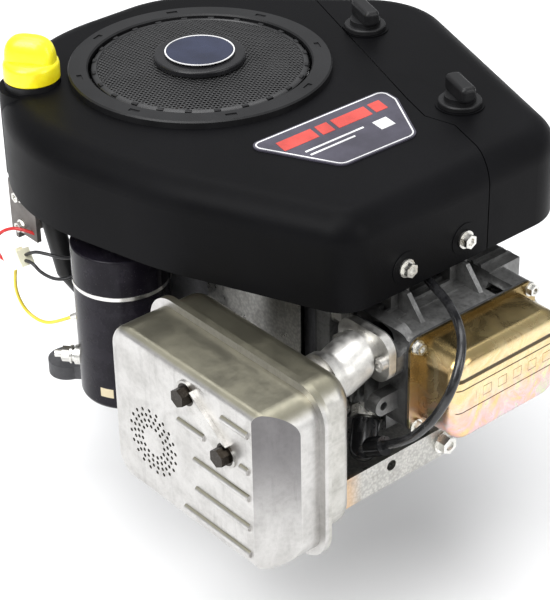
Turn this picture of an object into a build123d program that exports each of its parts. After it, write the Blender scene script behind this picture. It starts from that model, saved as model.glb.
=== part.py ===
from build123d import *
import os
from math import atan2, cos, degrees, pi, radians, sin, sqrt, tan

os.makedirs("parts", exist_ok=True)

# Small single-cylinder gasoline engine with a vertical crankshaft.
# Millimetres. The origin is on the crankshaft axis at the mounting face, +Z is up,
# +X runs along the cylinder to the rocker cover and the muffler is on the -Y side.

# ---------------------------------------------------------------- driving dimensions
BORE = 90.5
STROKE = 77.7
THROW = STROKE / 2
ROD_LENGTH = 130.0
CYLINDER_Z = 160.0           # height of the cylinder axis
DECK_X = 210.0               # top face of the cylinder block
SHAFT_R = 12.7               # power take-off shaft
SHAFT_LENGTH = 80.0
JOURNAL_R = 17.0
MOUNT_PCD = 254.0
MOUNT_HOLE_R = 5.2
SUMP_TOP = 45.0
GASKET = 1.0
BLOCK_TOP = 206.0
CASE_R = 88.0                # crankcase around the crankshaft
CAM_CASE_R = 70.0            # crankcase around the camshaft
CASE_WALL = 7.0
CASE_FLANGE = 14.0           # flange round the crankcase joint, outside its wall
CASE_BOLT_OUT = 7.6          # bolts in that flange, outside the wall
CAM_Y = 82.5                 # camshaft axis, from the crankshaft axis
GEAR_MODULE = 2.75
CRANK_TEETH = 20
CAM_TEETH = 40
VALVE_SPREAD = 21.0          # each valve's height above or below the cylinder axis
VALVE_LIFT = 6.0
VALVE_SEAT = 9.0             # seats, above the joint of block and head
INTAKE_VALVE_R = 19.0
EXHAUST_VALVE_R = 16.5
ROCKER_REACH = 30.0          # rocker pivot to valve, and to pushrod
ROCKER_X = 305.0
HEAD_FACE_X = 290.0          # rocker cover joint
SHROUD_TOP = 294.0
SKIRT_Z = 218.0
SHROUD_WALL = 3.0
SHROUD_EDGE_R = 24.0
RING_OUTER_R = 105.0
RING_INNER_R = 90.5
SCREEN_R = 86.5
HUB_DISC_R = 36.5
FLYWHEEL_R = 112.0
RING_GEAR_MODULE = 2.0
RING_GEAR_TEETH = 116
STARTER_R = 38.0
STARTER_X = 45.0
STARTER_Y = -121.0
CABLE_R = 3.5                # spark plug lead
WIRE_R = 1.4                 # harness wires
RUNNING_FIT = 0.05
PORT_X = 262.0               # exhaust port on the head's side
PORT_Z = 184.0
FLANGE_BOLT = 21.5           # exhaust flange screw, from the port's centre

RIGHT = (1, 0, 0)

# ---------------------------------------------------------------- helpers
def block(x0, x1, y0, y1, z0, z1):
    """Box between two corners."""
    return Pos((x0 + x1) / 2, (y0 + y1) / 2, (z0 + z1) / 2) * Box(x1 - x0, y1 - y0, z1 - z0)


def rod(radius, start, end):
    """Round bar from one point to another."""
    line = Vector(*end) - Vector(*start)
    place = Plane(origin=start, z_dir=line)
    return place * Cylinder(radius, line.length, align=(Align.CENTER, Align.CENTER, Align.MIN))


def pipe(outer, inner, start, end):
    """Round tube from one point to another."""
    return rod(outer, start, end) - rod(inner, start, end)


def cone(radius_start, radius_end, start, end):
    """Tapered bar from one point to another."""
    line = Vector(*end) - Vector(*start)
    place = Plane(origin=start, z_dir=line)
    return place * Cone(radius_start, radius_end, line.length, align=(Align.CENTER, Align.CENTER, Align.MIN))


def slab(sketch, z0, z1):
    """Flat outline raised from one height to another."""
    return Pos(0, 0, z0) * extrude(sketch, z1 - z0)


def plate_x(x0, x1, y0, y1, z0, z1, corner):
    """Plate facing +X with rounded corners."""
    outline = RectangleRounded(y1 - y0, z1 - z0, corner)
    place = Plane(origin=(x0, (y0 + y1) / 2, (z0 + z1) / 2), x_dir=(0, 1, 0), z_dir=RIGHT)
    return extrude(place * outline, x1 - x0)


def plate_y(x0, x1, y0, y1, z0, z1, corner):
    """Plate facing -Y with rounded corners."""
    outline = RectangleRounded(x1 - x0, z1 - z0, corner)
    place = Plane(origin=((x0 + x1) / 2, y1, (z0 + z1) / 2), x_dir=RIGHT, z_dir=(0, -1, 0))
    return extrude(place * outline, y1 - y0)


def hex_bar(across_flats, start, end):
    """Hexagonal bar from one point to another."""
    line = Vector(*end) - Vector(*start)
    place = Plane(origin=start, z_dir=line)
    return extrude(place * RegularPolygon(across_flats / 2, 6, major_radius=False), line.length)


def step(point, direction, distance):
    """Point reached by going a distance along a direction."""
    way = Vector(*direction).normalized()
    return tuple(Vector(*point) + way * distance)


def flanged_screw(seat, outward, shank_r, length, across_flats=10.0, head_height=5.0):
    """Hex screw with a washer face: seat is under its head, outward points out of the work."""
    washer = rod(across_flats * 0.72, seat, step(seat, outward, 1.5))
    head = hex_bar(across_flats, step(seat, outward, 1.5), step(seat, outward, 1.5 + head_height))
    head -= rod(across_flats * 0.3, step(seat, outward, head_height), step(seat, outward, head_height + 2))
    shank = rod(shank_r, step(seat, outward, -length), step(seat, outward, 0.5))
    return washer + head + shank


def socket_screw(seat, outward, shank_r, length):
    """Round-head screw with a hexagon socket."""
    head = rod(shank_r * 1.7, seat, step(seat, outward, shank_r * 2))
    head -= hex_bar(shank_r * 1.7, step(seat, outward, shank_r), step(seat, outward, shank_r * 2.5))
    return head + rod(shank_r, step(seat, outward, -length), step(seat, outward, 0.5))


def spur_gear(module, teeth, z0, z1, phase=0.0):
    """Spur gear with straight-flanked teeth and backlash. phase turns its first tooth, in degrees."""
    pitch_r = module * teeth / 2
    root_r = pitch_r - 1.25 * module
    tip_r = pitch_r + 0.9 * module
    tooth_angle = 360 / teeth
    root_half = 0.34 * tooth_angle
    tip_half = 0.11 * tooth_angle
    points = []
    for tooth in range(teeth):
        middle = phase + tooth * tooth_angle
        flanks = ((root_r, -root_half), (tip_r, -tip_half), (tip_r, tip_half), (root_r, root_half))
        for radius, turn in flanks:
            angle = radians(middle + turn)
            points.append((radius * cos(angle), radius * sin(angle)))
    return slab(Polygon(*points, align=None), z0, z1)


def bent_tube(radius, points):
    """Tube of straight runs joined by tangent arcs, each as large as its two runs allow."""
    radii = []
    for before, corner, after in zip(points, points[1:], points[2:]):
        run_in = Vector(*corner) - Vector(*before)
        run_out = Vector(*after) - Vector(*corner)
        turn = radians(run_in.get_angle(run_out))
        radii.append(0.45 * min(run_in.length, run_out.length) / tan(turn / 2))
    print("arc radii", [round(r, 1) for r in radii])
    path = FilletPolyline(*points, radius=radii)
    section = Plane(origin=path @ 0, z_dir=path % 0) * Circle(radius)
    tube = sweep(section, path=path)
    print("volume over section times length", round(tube.volume / (pi * radius**2 * path.length), 4))
    return tube


def case_outline(grow):
    """Outline that wraps the crankshaft and the camshaft."""
    crank_side = Circle(CASE_R + grow)
    cam_side = Pos(0, CAM_Y) * Circle(CAM_CASE_R + grow)
    return make_hull(crank_side.edges() + cam_side.edges())


def case_bolt_places():
    """Places of the bolts round the crankcase joint, as (x, y)."""
    places = []
    for angle in (190, 230, 270, 310, 350):
        reach = CASE_R + CASE_BOLT_OUT
        places.append((reach * cos(radians(angle)), reach * sin(radians(angle))))
    for angle in (10, 62, 118, 170):
        reach = CAM_CASE_R + CASE_BOLT_OUT
        places.append((reach * cos(radians(angle)), CAM_Y + reach * sin(radians(angle))))
    return places


# places of fasteners and valves on the head, as (y, z)
HEAD_BOLTS = [(-56.0, 114.0), (-56.0, 196.0), (54.0, 112.0), (50.0, 199.0)]
COVER_SCREWS = [(-43.5, 123.5), (-43.5, 192.5), (73.5, 192.5), (73.5, 123.5)]
EXHAUST_Z = CYLINDER_Z + VALVE_SPREAD
INTAKE_Z = CYLINDER_Z - VALVE_SPREAD
VALVE_HEIGHTS = (INTAKE_Z, EXHAUST_Z)
PLUG_OUT = (0.5, -0.6, -0.6)             # way the spark plug points
PLUG_SEAT = (247.0, -47.0, 117.0)
BOOT_NECK = (0.85, 0.1, 0.5)             # way the lead leaves its boot
BOOT_REACH = 32.0


# ---------------------------------------------------------------- sump and crankcase
def make_sump():
    """Cast pan that carries the lower bearing and the four mounting ears."""
    pan = slab(case_outline(0), 0, SUMP_TOP) + slab(case_outline(CASE_FLANGE), SUMP_TOP - 9, SUMP_TOP)
    for quarter in range(4):
        angle = radians(45 + 90 * quarter)
        x, y = MOUNT_PCD / 2 * cos(angle), MOUNT_PCD / 2 * sin(angle)
        arm = slab(Rot(0, 0, 45 + 90 * quarter) * Pos(90, 0) * Rectangle(74, 30), 0, 13)
        pan += arm + rod(17, (x, y, 0), (x, y, 13))
    pan -= slab(case_outline(-CASE_WALL), 8, SUMP_TOP + 1)
    pan += rod(30, (0, 0, 1), (0, 0, 40)) + rod(18, (0, CAM_Y, 1), (0, CAM_Y, 30))
    for turn in range(0, 360, 60):
        rib = slab(Rot(0, 0, turn) * Pos(52, 0) * Rectangle(50, 4), 7, 20)
        pan += rib
    pan -= rod(JOURNAL_R + RUNNING_FIT, (0, 0, -1), (0, 0, 41))
    pan -= rod(23, (0, 0, -1), (0, 0, 8.5))
    pan -= rod(9 + RUNNING_FIT, (0, CAM_Y, 8), (0, CAM_Y, 31))
    for quarter in range(4):
        angle = radians(45 + 90 * quarter)
        x, y = MOUNT_PCD / 2 * cos(angle), MOUNT_PCD / 2 * sin(angle)
        pan -= rod(MOUNT_HOLE_R, (x, y, -1), (x, y, 14))
    for x, y in case_bolt_places():
        pan -= rod(3.3, (x, y, SUMP_TOP - 10), (x, y, SUMP_TOP + 1))
    pan -= rod(7.1, (-CASE_R - 2, 0, 22), (-CASE_R + CASE_WALL + 2, 0, 22))
    return pan


def make_cylinder_block():
    """Crankcase with its top bearing, the finned cylinder and the pushrod tunnel."""
    floor = SUMP_TOP + GASKET
    case = slab(case_outline(0), floor, BLOCK_TOP) + slab(case_outline(CASE_FLANGE), floor, floor + 9)
    barrel = rod(56, (72, 0, CYLINDER_Z), (DECK_X, 0, CYLINDER_Z))
    for fin in range(8):
        x = 98 + 12 * fin
        barrel += plate_x(x, x + 2.6, -72, 58, 104, BLOCK_TOP - 2, 14)
    deck = plate_x(DECK_X - 12, DECK_X, -66, 94, 102, BLOCK_TOP - 2, 10)
    tunnel = block(60, DECK_X, 58, 92, 126, 194)
    body = case + barrel + deck + tunnel
    body -= slab(case_outline(-CASE_WALL), floor - 1, BLOCK_TOP - 8)
    body += rod(30, (0, 0, BLOCK_TOP - 14), (0, 0, BLOCK_TOP + 4))
    body += rod(16, (0, CAM_Y, BLOCK_TOP - 18), (0, CAM_Y, BLOCK_TOP - 1))
    guides = plate_x(56, 76, 62, 94, 126, 194, 8)
    body += guides
    body -= rod(BORE / 2 + RUNNING_FIT, (50, 0, CYLINDER_Z), (DECK_X + 1, 0, CYLINDER_Z))
    body -= block(76, DECK_X + 1, 62, 88, 130, 190)
    for z in VALVE_HEIGHTS:
        body -= rod(6, (50, CAM_Y, z), (80, CAM_Y, z))
    body -= rod(JOURNAL_R + RUNNING_FIT, (0, 0, BLOCK_TOP - 20), (0, 0, BLOCK_TOP + 5))
    body -= rod(23, (0, 0, BLOCK_TOP - 4), (0, 0, BLOCK_TOP + 5))
    body -= rod(9 + RUNNING_FIT, (0, CAM_Y, BLOCK_TOP - 20), (0, CAM_Y, BLOCK_TOP - 6))
    for x, y in case_bolt_places():
        body -= rod(3.3, (x, y, floor - 1), (x, y, floor + 10))
    for y, z in HEAD_BOLTS:
        body -= rod(4.2, (DECK_X - 14, y, z), (DECK_X + 1, y, z))
    return body


def make_sump_gasket():
    """Flat gasket between sump and crankcase."""
    z0, z1 = SUMP_TOP, SUMP_TOP + GASKET
    ring = slab(case_outline(CASE_FLANGE), z0, z1) - slab(case_outline(-CASE_WALL), z0 - 1, z1 + 1)
    for x, y in case_bolt_places():
        ring -= rod(3.3, (x, y, z0 - 1), (x, y, z1 + 1))
    return ring


def make_sump_bolts():
    """Bolts that hold the sump to the crankcase, screwed in from below."""
    bolts = []
    for x, y in case_bolt_places():
        bolts.append(flanged_screw((x, y, SUMP_TOP - 9), (0, 0, -1), 3.0, 19))
    return Compound(children=bolts)


def make_oil_seals():
    """Lip seals round the shaft, below and above."""
    lower = pipe(23, JOURNAL_R + RUNNING_FIT, (0, 0, 0.5), (0, 0, 8.5))
    upper = pipe(23, JOURNAL_R + RUNNING_FIT, (0, 0, BLOCK_TOP - 4), (0, 0, BLOCK_TOP + 3.5))
    return Compound(children=[lower, upper])


# ---------------------------------------------------------------- crank train
def make_crankshaft():
    """Shaft with its two webs, the crankpin toward the cylinder and the keyed output end."""
    shaft = rod(SHAFT_R, (0, 0, -SHAFT_LENGTH), (0, 0, 1))
    shaft = chamfer(shaft.edges().group_by(Axis.Z)[0], 1.2)
    shaft += rod(JOURNAL_R, (0, 0, 0), (0, 0, 126))
    shaft += rod(JOURNAL_R, (0, 0, 190), (0, 0, BLOCK_TOP + 10))
    shaft += cone(JOURNAL_R, 13, (0, 0, BLOCK_TOP + 10), (0, 0, 250))
    shaft += rod(9, (0, 0, 249), (0, 0, 274))
    shaft += rod(19, (THROW, 0, 140), (THROW, 0, 180))
    cheek = make_hull((Pos(THROW, 0) * Circle(22)).edges() + Circle(28).edges())
    weight = Circle(62) & Pos(-40, 0) * Rectangle(64, 140)
    for z in (126, 174.5):
        shaft += slab(cheek + weight, z, z + 17)
    keyway = block(SHAFT_R - 3.2, SHAFT_R + 1, -3.175, 3.175, -SHAFT_LENGTH - 1, -20)
    shaft -= keyway
    shaft -= rod(4.76, (0, 0, -SHAFT_LENGTH - 1), (0, 0, -SHAFT_LENGTH + 30))
    return shaft


def make_timing_gear():
    """Crankshaft gear that turns the camshaft at half speed."""
    gear = spur_gear(GEAR_MODULE, CRANK_TEETH, 50, 64, 90)
    return gear - rod(JOURNAL_R, (0, 0, 49), (0, 0, 65))


def make_camshaft_gear():
    """Large timing gear, lightened by round holes."""
    gear = spur_gear(GEAR_MODULE, CAM_TEETH, 50, 64, -90 + 180 / CAM_TEETH)
    gear -= rod(9, (0, 0, 49), (0, 0, 65))
    for turn in range(0, 360, 60):
        x, y = 32 * cos(radians(turn)), 32 * sin(radians(turn))
        gear -= rod(9, (x, y, 49), (x, y, 65))
    return Pos(0, CAM_Y, 0) * gear


def make_camshaft():
    """Shaft with an intake and an exhaust lobe."""
    shaft = rod(9, (0, CAM_Y, 9), (0, CAM_Y, BLOCK_TOP - 7))
    for z, turn in ((INTAKE_Z, 215), (EXHAUST_Z, 130)):
        nose = Rot(0, 0, turn) * Pos(VALVE_LIFT + 6, 0) * Circle(6)
        lobe = make_hull(Circle(12).edges() + nose.edges())
        shaft += Pos(0, CAM_Y, 0) * slab(lobe, z - 6, z + 6)
    return shaft


def make_piston():
    """Piston at the top of its stroke, hollow underneath, with three ring grooves."""
    pin_x = THROW + ROD_LENGTH
    crown_x = DECK_X - 1.0
    radius = BORE / 2 - 0.05
    piston = rod(radius, (pin_x - 32, 0, CYLINDER_Z), (crown_x, 0, CYLINDER_Z))
    piston -= rod(radius - 6, (pin_x - 33, 0, CYLINDER_Z), (crown_x - 9, 0, CYLINDER_Z))
    for z in (CYLINDER_Z - 26, CYLINDER_Z + 26):
        piston += rod(15, (pin_x, 0, z - 12), (pin_x, 0, z + 12)) & rod(radius, (pin_x - 20, 0, CYLINDER_Z), (
            pin_x + 20, 0, CYLINDER_Z))
    piston -= rod(10, (pin_x, 0, CYLINDER_Z - 60), (pin_x, 0, CYLINDER_Z + 60))
    for groove in range(3):
        x = crown_x - 8 - 6 * groove
        piston -= pipe(radius + 1, radius - 4, (x - 2, 0, CYLINDER_Z), (x, 0, CYLINDER_Z))
    return piston


def make_piston_rings():
    """Three split rings in the piston's grooves."""
    radius = BORE / 2
    rings = []
    for groove in range(3):
        x = DECK_X - 1.0 - 8 - 6 * groove
        ring = pipe(radius, radius - 3.6, (x - 1.9, 0, CYLINDER_Z), (x - 0.1, 0, CYLINDER_Z))
        rings.append(ring - block(x - 3, x + 1, -0.4, 0.4, CYLINDER_Z + 30, CYLINDER_Z + 60))
    return Compound(children=rings)


def make_connecting_rod():
    """Rod between the crankpin and the wrist pin, with an I-shaped shank."""
    pin_x = THROW + ROD_LENGTH
    low, high = CYLINDER_Z - 14, CYLINDER_Z + 14
    rod_body = rod(28, (THROW, 0, low), (THROW, 0, high)) + rod(15, (pin_x, 0, low + 3), (pin_x, 0, high - 3))
    shank = block(THROW + 20, pin_x - 10, -11, 11, CYLINDER_Z - 8, CYLINDER_Z + 8)
    shank -= block(THROW + 34, pin_x - 20, -7, 7, CYLINDER_Z + 3, CYLINDER_Z + 9)
    shank -= block(THROW + 34, pin_x - 20, -7, 7, CYLINDER_Z - 9, CYLINDER_Z - 3)
    rod_body += shank
    rod_body -= rod(19 + RUNNING_FIT, (THROW, 0, low - 1), (THROW, 0, high + 1))
    return rod_body - rod(10 + RUNNING_FIT, (pin_x, 0, low - 1), (pin_x, 0, high + 1))


def make_wrist_pin():
    """Hollow pin through the piston."""
    pin_x = THROW + ROD_LENGTH
    return pipe(10, 6, (pin_x, 0, CYLINDER_Z - 36), (pin_x, 0, CYLINDER_Z + 36))


# ---------------------------------------------------------------- flywheel end
def make_flywheel():
    """Cast flywheel: hub, web and a deep rim that covers the charging coils."""
    wheel = rod(FLYWHEEL_R, (0, 0, 216.5), (0, 0, 247)) - rod(FLYWHEEL_R - 9, (0, 0, 215), (0, 0, 239))
    wheel += rod(30, (0, 0, 216.5), (0, 0, 249))
    wheel -= cone(JOURNAL_R, 13, (0, 0, BLOCK_TOP + 10), (0, 0, 250))
    for turn in range(0, 360, 60):
        x, y = 62 * cos(radians(turn)), 62 * sin(radians(turn))
        wheel -= rod(11, (x, y, 237), (x, y, 248))
    return wheel


def make_ring_gear():
    """Starter ring gear shrunk on the flywheel rim."""
    gear = spur_gear(RING_GEAR_MODULE, RING_GEAR_TEETH, 233, 245)
    return gear - rod(FLYWHEEL_R, (0, 0, 232), (0, 0, 246))


def make_cooling_fan():
    """Fan on the flywheel: a floor ring, curved blades and the pillars that carry the screen."""
    fan = rod(FLYWHEEL_R - 4, (0, 0, 247), (0, 0, 250)) - rod(32, (0, 0, 246), (0, 0, 251))
    for blade in range(16):
        vane = slab(Pos(78, 0) * Rot(0, 0, 28) * Rectangle(52, 3), 249.5, 284)
        fan += Rot(0, 0, 22.5 * blade) * vane
    for pillar in range(4):
        x, y = 44 * cos(radians(45 + 90 * pillar)), 44 * sin(radians(45 + 90 * pillar))
        fan += rod(6, (x, y, 249.5), (x, y, 297))
    return fan


def make_flywheel_nut():
    """Nut and washer on the top of the crankshaft."""
    nut = pipe(20, 9, (0, 0, 250), (0, 0, 254))
    return nut + (hex_bar(28, (0, 0, 253.5), (0, 0, 270)) - rod(9, (0, 0, 253), (0, 0, 271)))


def make_rotating_screen():
    """Slightly domed debris screen that turns with the flywheel."""
    inner_r = 30.0
    edge_z, crown_z, thickness = 297.5, 301.5, 2.2
    middle_r = (SCREEN_R + inner_r) / 2
    top = ThreePointArc((inner_r, crown_z), (middle_r, crown_z - 1.1), (SCREEN_R, edge_z))
    under = ThreePointArc((SCREEN_R - 3, edge_z - thickness), (middle_r, crown_z - 1.1 - thickness),
                          (inner_r, crown_z - thickness))
    rim = Polyline((SCREEN_R, edge_z), (SCREEN_R, edge_z - 5), (SCREEN_R - 3, edge_z - 5),
                   (SCREEN_R - 3, edge_z - thickness))
    hole_wall = Line((inner_r, crown_z - thickness), (inner_r, crown_z))
    profile = make_face([top, *rim.edges(), under, hole_wall])
    return revolve(Plane.XZ * profile, Axis.Z)


def make_screen_hub():
    """Round cap in the middle of the screen."""
    hub = rod(HUB_DISC_R, (0, 0, 303.0), (0, 0, 307.5)) + rod(29.8, (0, 0, 298), (0, 0, 304))
    hub = fillet(hub.edges().group_by(Axis.Z)[-1], 2.0)
    return hub + rod(21, (0, 0, 307), (0, 0, 309.2))


# ---------------------------------------------------------------- cylinder head and valves
def make_head_gasket():
    """Thin gasket between block and head."""
    sheet = plate_x(DECK_X, DECK_X + 1.5, -66, 94, 102, BLOCK_TOP - 2, 10)
    sheet -= rod(BORE / 2 + 1, (DECK_X - 1, 0, CYLINDER_Z), (DECK_X + 3, 0, CYLINDER_Z))
    sheet -= block(DECK_X - 1, DECK_X + 3, 62, 88, 130, 190)
    for y, z in HEAD_BOLTS:
        sheet -= rod(4.2, (DECK_X - 1, y, z), (DECK_X + 3, y, z))
    return sheet


def make_cylinder_head():
    """Finned head with the rocker box, two ports, the posts for the blower housing and side lugs."""
    seat_x = DECK_X + 1.5
    base = plate_x(seat_x, seat_x + 14, -66, 94, 102, BLOCK_TOP - 2, 10)
    core = block(seat_x, 266, -46, 92, 106, 200)
    for fin in range(4):
        x = 231 + 8 * fin
        core += plate_x(x, x + 2.6, -58, 94, 102.4, 203, 8)
    box = plate_x(262, HEAD_FACE_X, -50, 80, 117, 199, 10)
    head = base + core + box
    head -= plate_x(268, HEAD_FACE_X + 1, -43, 73, 124, 193, 8)
    # ports, combustion chamber, valve guides and pushrod passage
    head -= cone(44.5, 42, (seat_x - 0.1, 0, CYLINDER_Z), (seat_x + VALVE_SEAT, 0, CYLINDER_Z))
    for z, throat_r in ((INTAKE_Z, INTAKE_VALVE_R - 3), (EXHAUST_Z, EXHAUST_VALVE_R - 3)):
        head -= cone(throat_r + 3.3, throat_r, (seat_x + VALVE_SEAT - 0.3, 0, z), (seat_x + VALVE_SEAT + 3, 0, z))
        head -= rod(throat_r, (seat_x + 4, 0, z), (244, 0, z))
        head -= rod(4.55, (240, 0, z), (270, 0, z))
    head += plate_y(PORT_X - 27, PORT_X + 27, -58, -40, PORT_Z - 19.5, PORT_Z + 19.5, 14)
    head -= rod(15, (PORT_X, -60, PORT_Z), (PORT_X, -30, PORT_Z))
    head -= rod(14, (PORT_X, -31, PORT_Z), (232, 0, EXHAUST_Z))
    head += rod(22, (236, 80, 120), (236, 97, 120))
    head -= rod(13, (236, 99, 120), (236, 0, INTAKE_Z - 4))
    head -= block(seat_x - 1, 269, 52, 86, INTAKE_Z - 8, EXHAUST_Z + 8)
    for y, z in HEAD_BOLTS:
        head -= rod(4.2, (seat_x - 1, y, z), (seat_x + 15, y, z))
        head -= rod(9, (seat_x + 14, y, z), (HEAD_FACE_X + 1, y, z))
    # posts that carry the front edge of the blower housing
    for y in (-25, 35):
        post = block(243, 257, y - 9, y + 9, 196, 236) + rod(9, (243, y, 237), (257, y, 237))
        rib = Plane.XZ * Polygon((256, 198), (282, 198), (266, 217), (256, 217), align=None)
        head += post + Pos(0, y + 2, 0) * extrude(rib, 4)
        head -= rod(3.2, (242, y, 237), (258, y, 237))
    # side lug with a hole, strap boss underneath and rocker cover screw holes
    lug = block(272, 282, -66, -48, 136, 152) + rod(8, (272, -64, 144), (282, -64, 144))
    head += lug
    head -= rod(3.4, (271, -64, 144), (283, -64, 144))
    head += block(262, 282, -16, 6, 74, 119)
    head -= rod(4.1, (268, -5, 85), (283, -5, 85))
    for y, z in COVER_SCREWS:
        head -= rod(2.7, (276, y, z), (HEAD_FACE_X + 1, y, z))
    for side in (-1, 1):
        head -= rod(3.3, (PORT_X + FLANGE_BOLT * side, -59, PORT_Z), (PORT_X + FLANGE_BOLT * side, -44, PORT_Z))
        head -= rod(3.3, (236 + 17 * side, 80, 120), (236 + 17 * side, 98, 120))
    # boss and bore for the spark plug
    boss = rod(13, PLUG_SEAT, step(PLUG_SEAT, PLUG_OUT, -16))
    head += boss - rod(9.7, (seat_x + 14, *HEAD_BOLTS[0]), (250, *HEAD_BOLTS[0]))
    head -= rod(7.1, step(PLUG_SEAT, PLUG_OUT, 1), step(PLUG_SEAT, PLUG_OUT, -50))
    head -= rod(15, PLUG_SEAT, step(PLUG_SEAT, PLUG_OUT, 60))
    return head



def make_valve(z, head_r):
    """Poppet valve, closed, with its retainer pinned on the stem."""
    seat_x = DECK_X + 1.5 + VALVE_SEAT
    valve = rod(head_r, (seat_x - 3, 0, z), (seat_x - 0.4, 0, z))
    valve += cone(head_r, 4.5, (seat_x - 0.4, 0, z), (seat_x + 10, 0, z)) + rod(4.5, (seat_x + 5, 0, z), (300, 0, z))
    return valve + rod(11.5, (289, 0, z), (293, 0, z))


def make_valve_springs():
    """A coil spring behind each valve's retainer."""
    springs = []
    for z in VALVE_HEIGHTS:
        coil = Helix(pitch=4.3, height=17.2, radius=9.8)
        wire = Plane(origin=coil @ 0, z_dir=coil % 0) * Circle(1.3)
        spring = sweep(wire, path=coil, is_frenet=True)
        springs.append(Plane(origin=(270.2, 0, z), z_dir=RIGHT) * spring)
    return Compound(children=springs)


def make_rocker(z):
    """Rocker arm on its shaft: a pad over the valve at one end, a cup over the pushrod at the other."""
    pivot_y = ROCKER_REACH
    arm = block(ROCKER_X - 3.5, ROCKER_X + 5, 0, 2 * ROCKER_REACH, z - 6, z + 6)
    arm += rod(9.5, (ROCKER_X, pivot_y, z - 9), (ROCKER_X, pivot_y, z + 9))
    arm += rod(4.2, (ROCKER_X, 0, z - 6), (ROCKER_X, 0, z + 6))
    arm += rod(5, (ROCKER_X, 2 * ROCKER_REACH, z - 6), (ROCKER_X, 2 * ROCKER_REACH, z + 6))
    return arm - rod(5 + RUNNING_FIT, (ROCKER_X, pivot_y, z - 10), (ROCKER_X, pivot_y, z + 10))


def make_rocker_shaft():
    """Shaft of both rocker arms on three pedestals that stand on a common foot."""
    y = ROCKER_REACH
    shaft = rod(5, (ROCKER_X, y, 125), (ROCKER_X, y, 191))
    for z0, z1 in ((125, 129.5), (148.5, 171.5), (190.5, 191.5)):
        shaft += block(272, ROCKER_X + 7, y - 6.5, y + 6.5, z0, z1)
    return shaft + block(268, 272, y - 8, y + 8, 125, 191.5)


def make_pushrod(z):
    """Tappet on the camshaft side with its pushrod up to the rocker."""
    tappet_end = 70.0
    cam_reach = 18.0
    lifter = rod(6 - RUNNING_FIT, (cam_reach + 0.4, CAM_Y, z), (tappet_end, CAM_Y, z))
    lifter += rod(11, (cam_reach + 0.4, CAM_Y, z), (cam_reach + 4, CAM_Y, z))
    return lifter + rod(3.2, (tappet_end - 2, CAM_Y, z), (ROCKER_X - 5.6, 2 * ROCKER_REACH, z))


def make_rocker_cover():
    """Pressed steel cover: a flat rim and a deep body with large corners."""
    rim = plate_x(HEAD_FACE_X + 2, HEAD_FACE_X + 4.2, -50, 80, 117, 199, 10)
    body = plate_x(HEAD_FACE_X + 2, 331, -41, 71, 121, 195, 17)
    body = fillet(body.faces().sort_by(Axis.X)[-1].edges(), 9)
    inside = plate_x(HEAD_FACE_X + 1, 329, -39, 69, 123, 193, 15)
    inside = fillet(inside.faces().sort_by(Axis.X)[-1].edges(), 7)
    cover = rim + body - inside
    for y, z in COVER_SCREWS:
        cover -= rod(3.1, (HEAD_FACE_X, y, z), (HEAD_FACE_X + 6, y, z))
    return cover


def make_rocker_cover_gasket():
    """Black gasket under the rocker cover's rim."""
    gasket = plate_x(HEAD_FACE_X, HEAD_FACE_X + 2, -50, 80, 117, 199, 10)
    gasket -= plate_x(HEAD_FACE_X - 1, HEAD_FACE_X + 3, -40, 70, 122, 194, 8)
    for y, z in COVER_SCREWS:
        gasket -= rod(3.1, (HEAD_FACE_X - 1, y, z), (HEAD_FACE_X + 3, y, z))
    return gasket


def make_rocker_cover_screws():
    """Four screws at the rim's corners."""
    seat_x = HEAD_FACE_X + 4.2
    return Compound(children=[flanged_screw((seat_x, y, z), RIGHT, 2.5, 18, 8, 4) for y, z in COVER_SCREWS])


def make_head_bolts():
    """Bolts from the head into the block."""
    bolts = []
    for y, z in HEAD_BOLTS:
        bolts.append(flanged_screw((DECK_X + 15.5, y, z), RIGHT, 4, 26, 12, 7))
    return Compound(children=bolts)


def make_spark_plug():
    """Plug with its hexagon, ribbed insulator and terminal."""
    plug = rod(7, step(PLUG_SEAT, PLUG_OUT, -12), PLUG_SEAT)
    plug += hex_bar(20.8, step(PLUG_SEAT, PLUG_OUT, 0), step(PLUG_SEAT, PLUG_OUT, 9))
    plug += rod(5.5, step(PLUG_SEAT, PLUG_OUT, 9), step(PLUG_SEAT, PLUG_OUT, 24))
    return plug + rod(3, step(PLUG_SEAT, PLUG_OUT, 24), step(PLUG_SEAT, PLUG_OUT, 31))


def make_spark_plug_boot():
    """Rubber boot over the plug, with a straight neck for the lead."""
    top = step(PLUG_SEAT, PLUG_OUT, BOOT_REACH)
    boot = rod(10.5, step(PLUG_SEAT, PLUG_OUT, 11), top) + Pos(*top) * Sphere(10.5)
    boot += rod(7.5, step(top, BOOT_NECK, 4), step(top, BOOT_NECK, 24))
    boot -= rod(5.6, step(PLUG_SEAT, PLUG_OUT, 8), step(PLUG_SEAT, PLUG_OUT, 24.2))
    return boot - rod(3.1, step(PLUG_SEAT, PLUG_OUT, 24), step(PLUG_SEAT, PLUG_OUT, 31.3))


# ---------------------------------------------------------------- exhaust
MUFFLER_Z0 = 64.0
MUFFLER_Z1 = 199.0
MUFFLER_X0 = 124.0
MUFFLER_X1 = 306.0
SEAM_Y = -145.0
FRONT_Y = -192.0
BACK_Y = -108.0
LOCK_BOLTS = ((216.0, 181.0), (258.0, 152.0))
OUTLET_X = 172.0             # middle of the round patch of outlet holes
OUTLET_Z = 115.0
MUFFLER_BEADS = ((254, 180, 28), (204, 152, 30), (273, 149, 9), (221, 126, 61), (222, 100, 60), (208, 76, 74))
PIPE_X = PORT_X
PIPE_Z = 176.0


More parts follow.
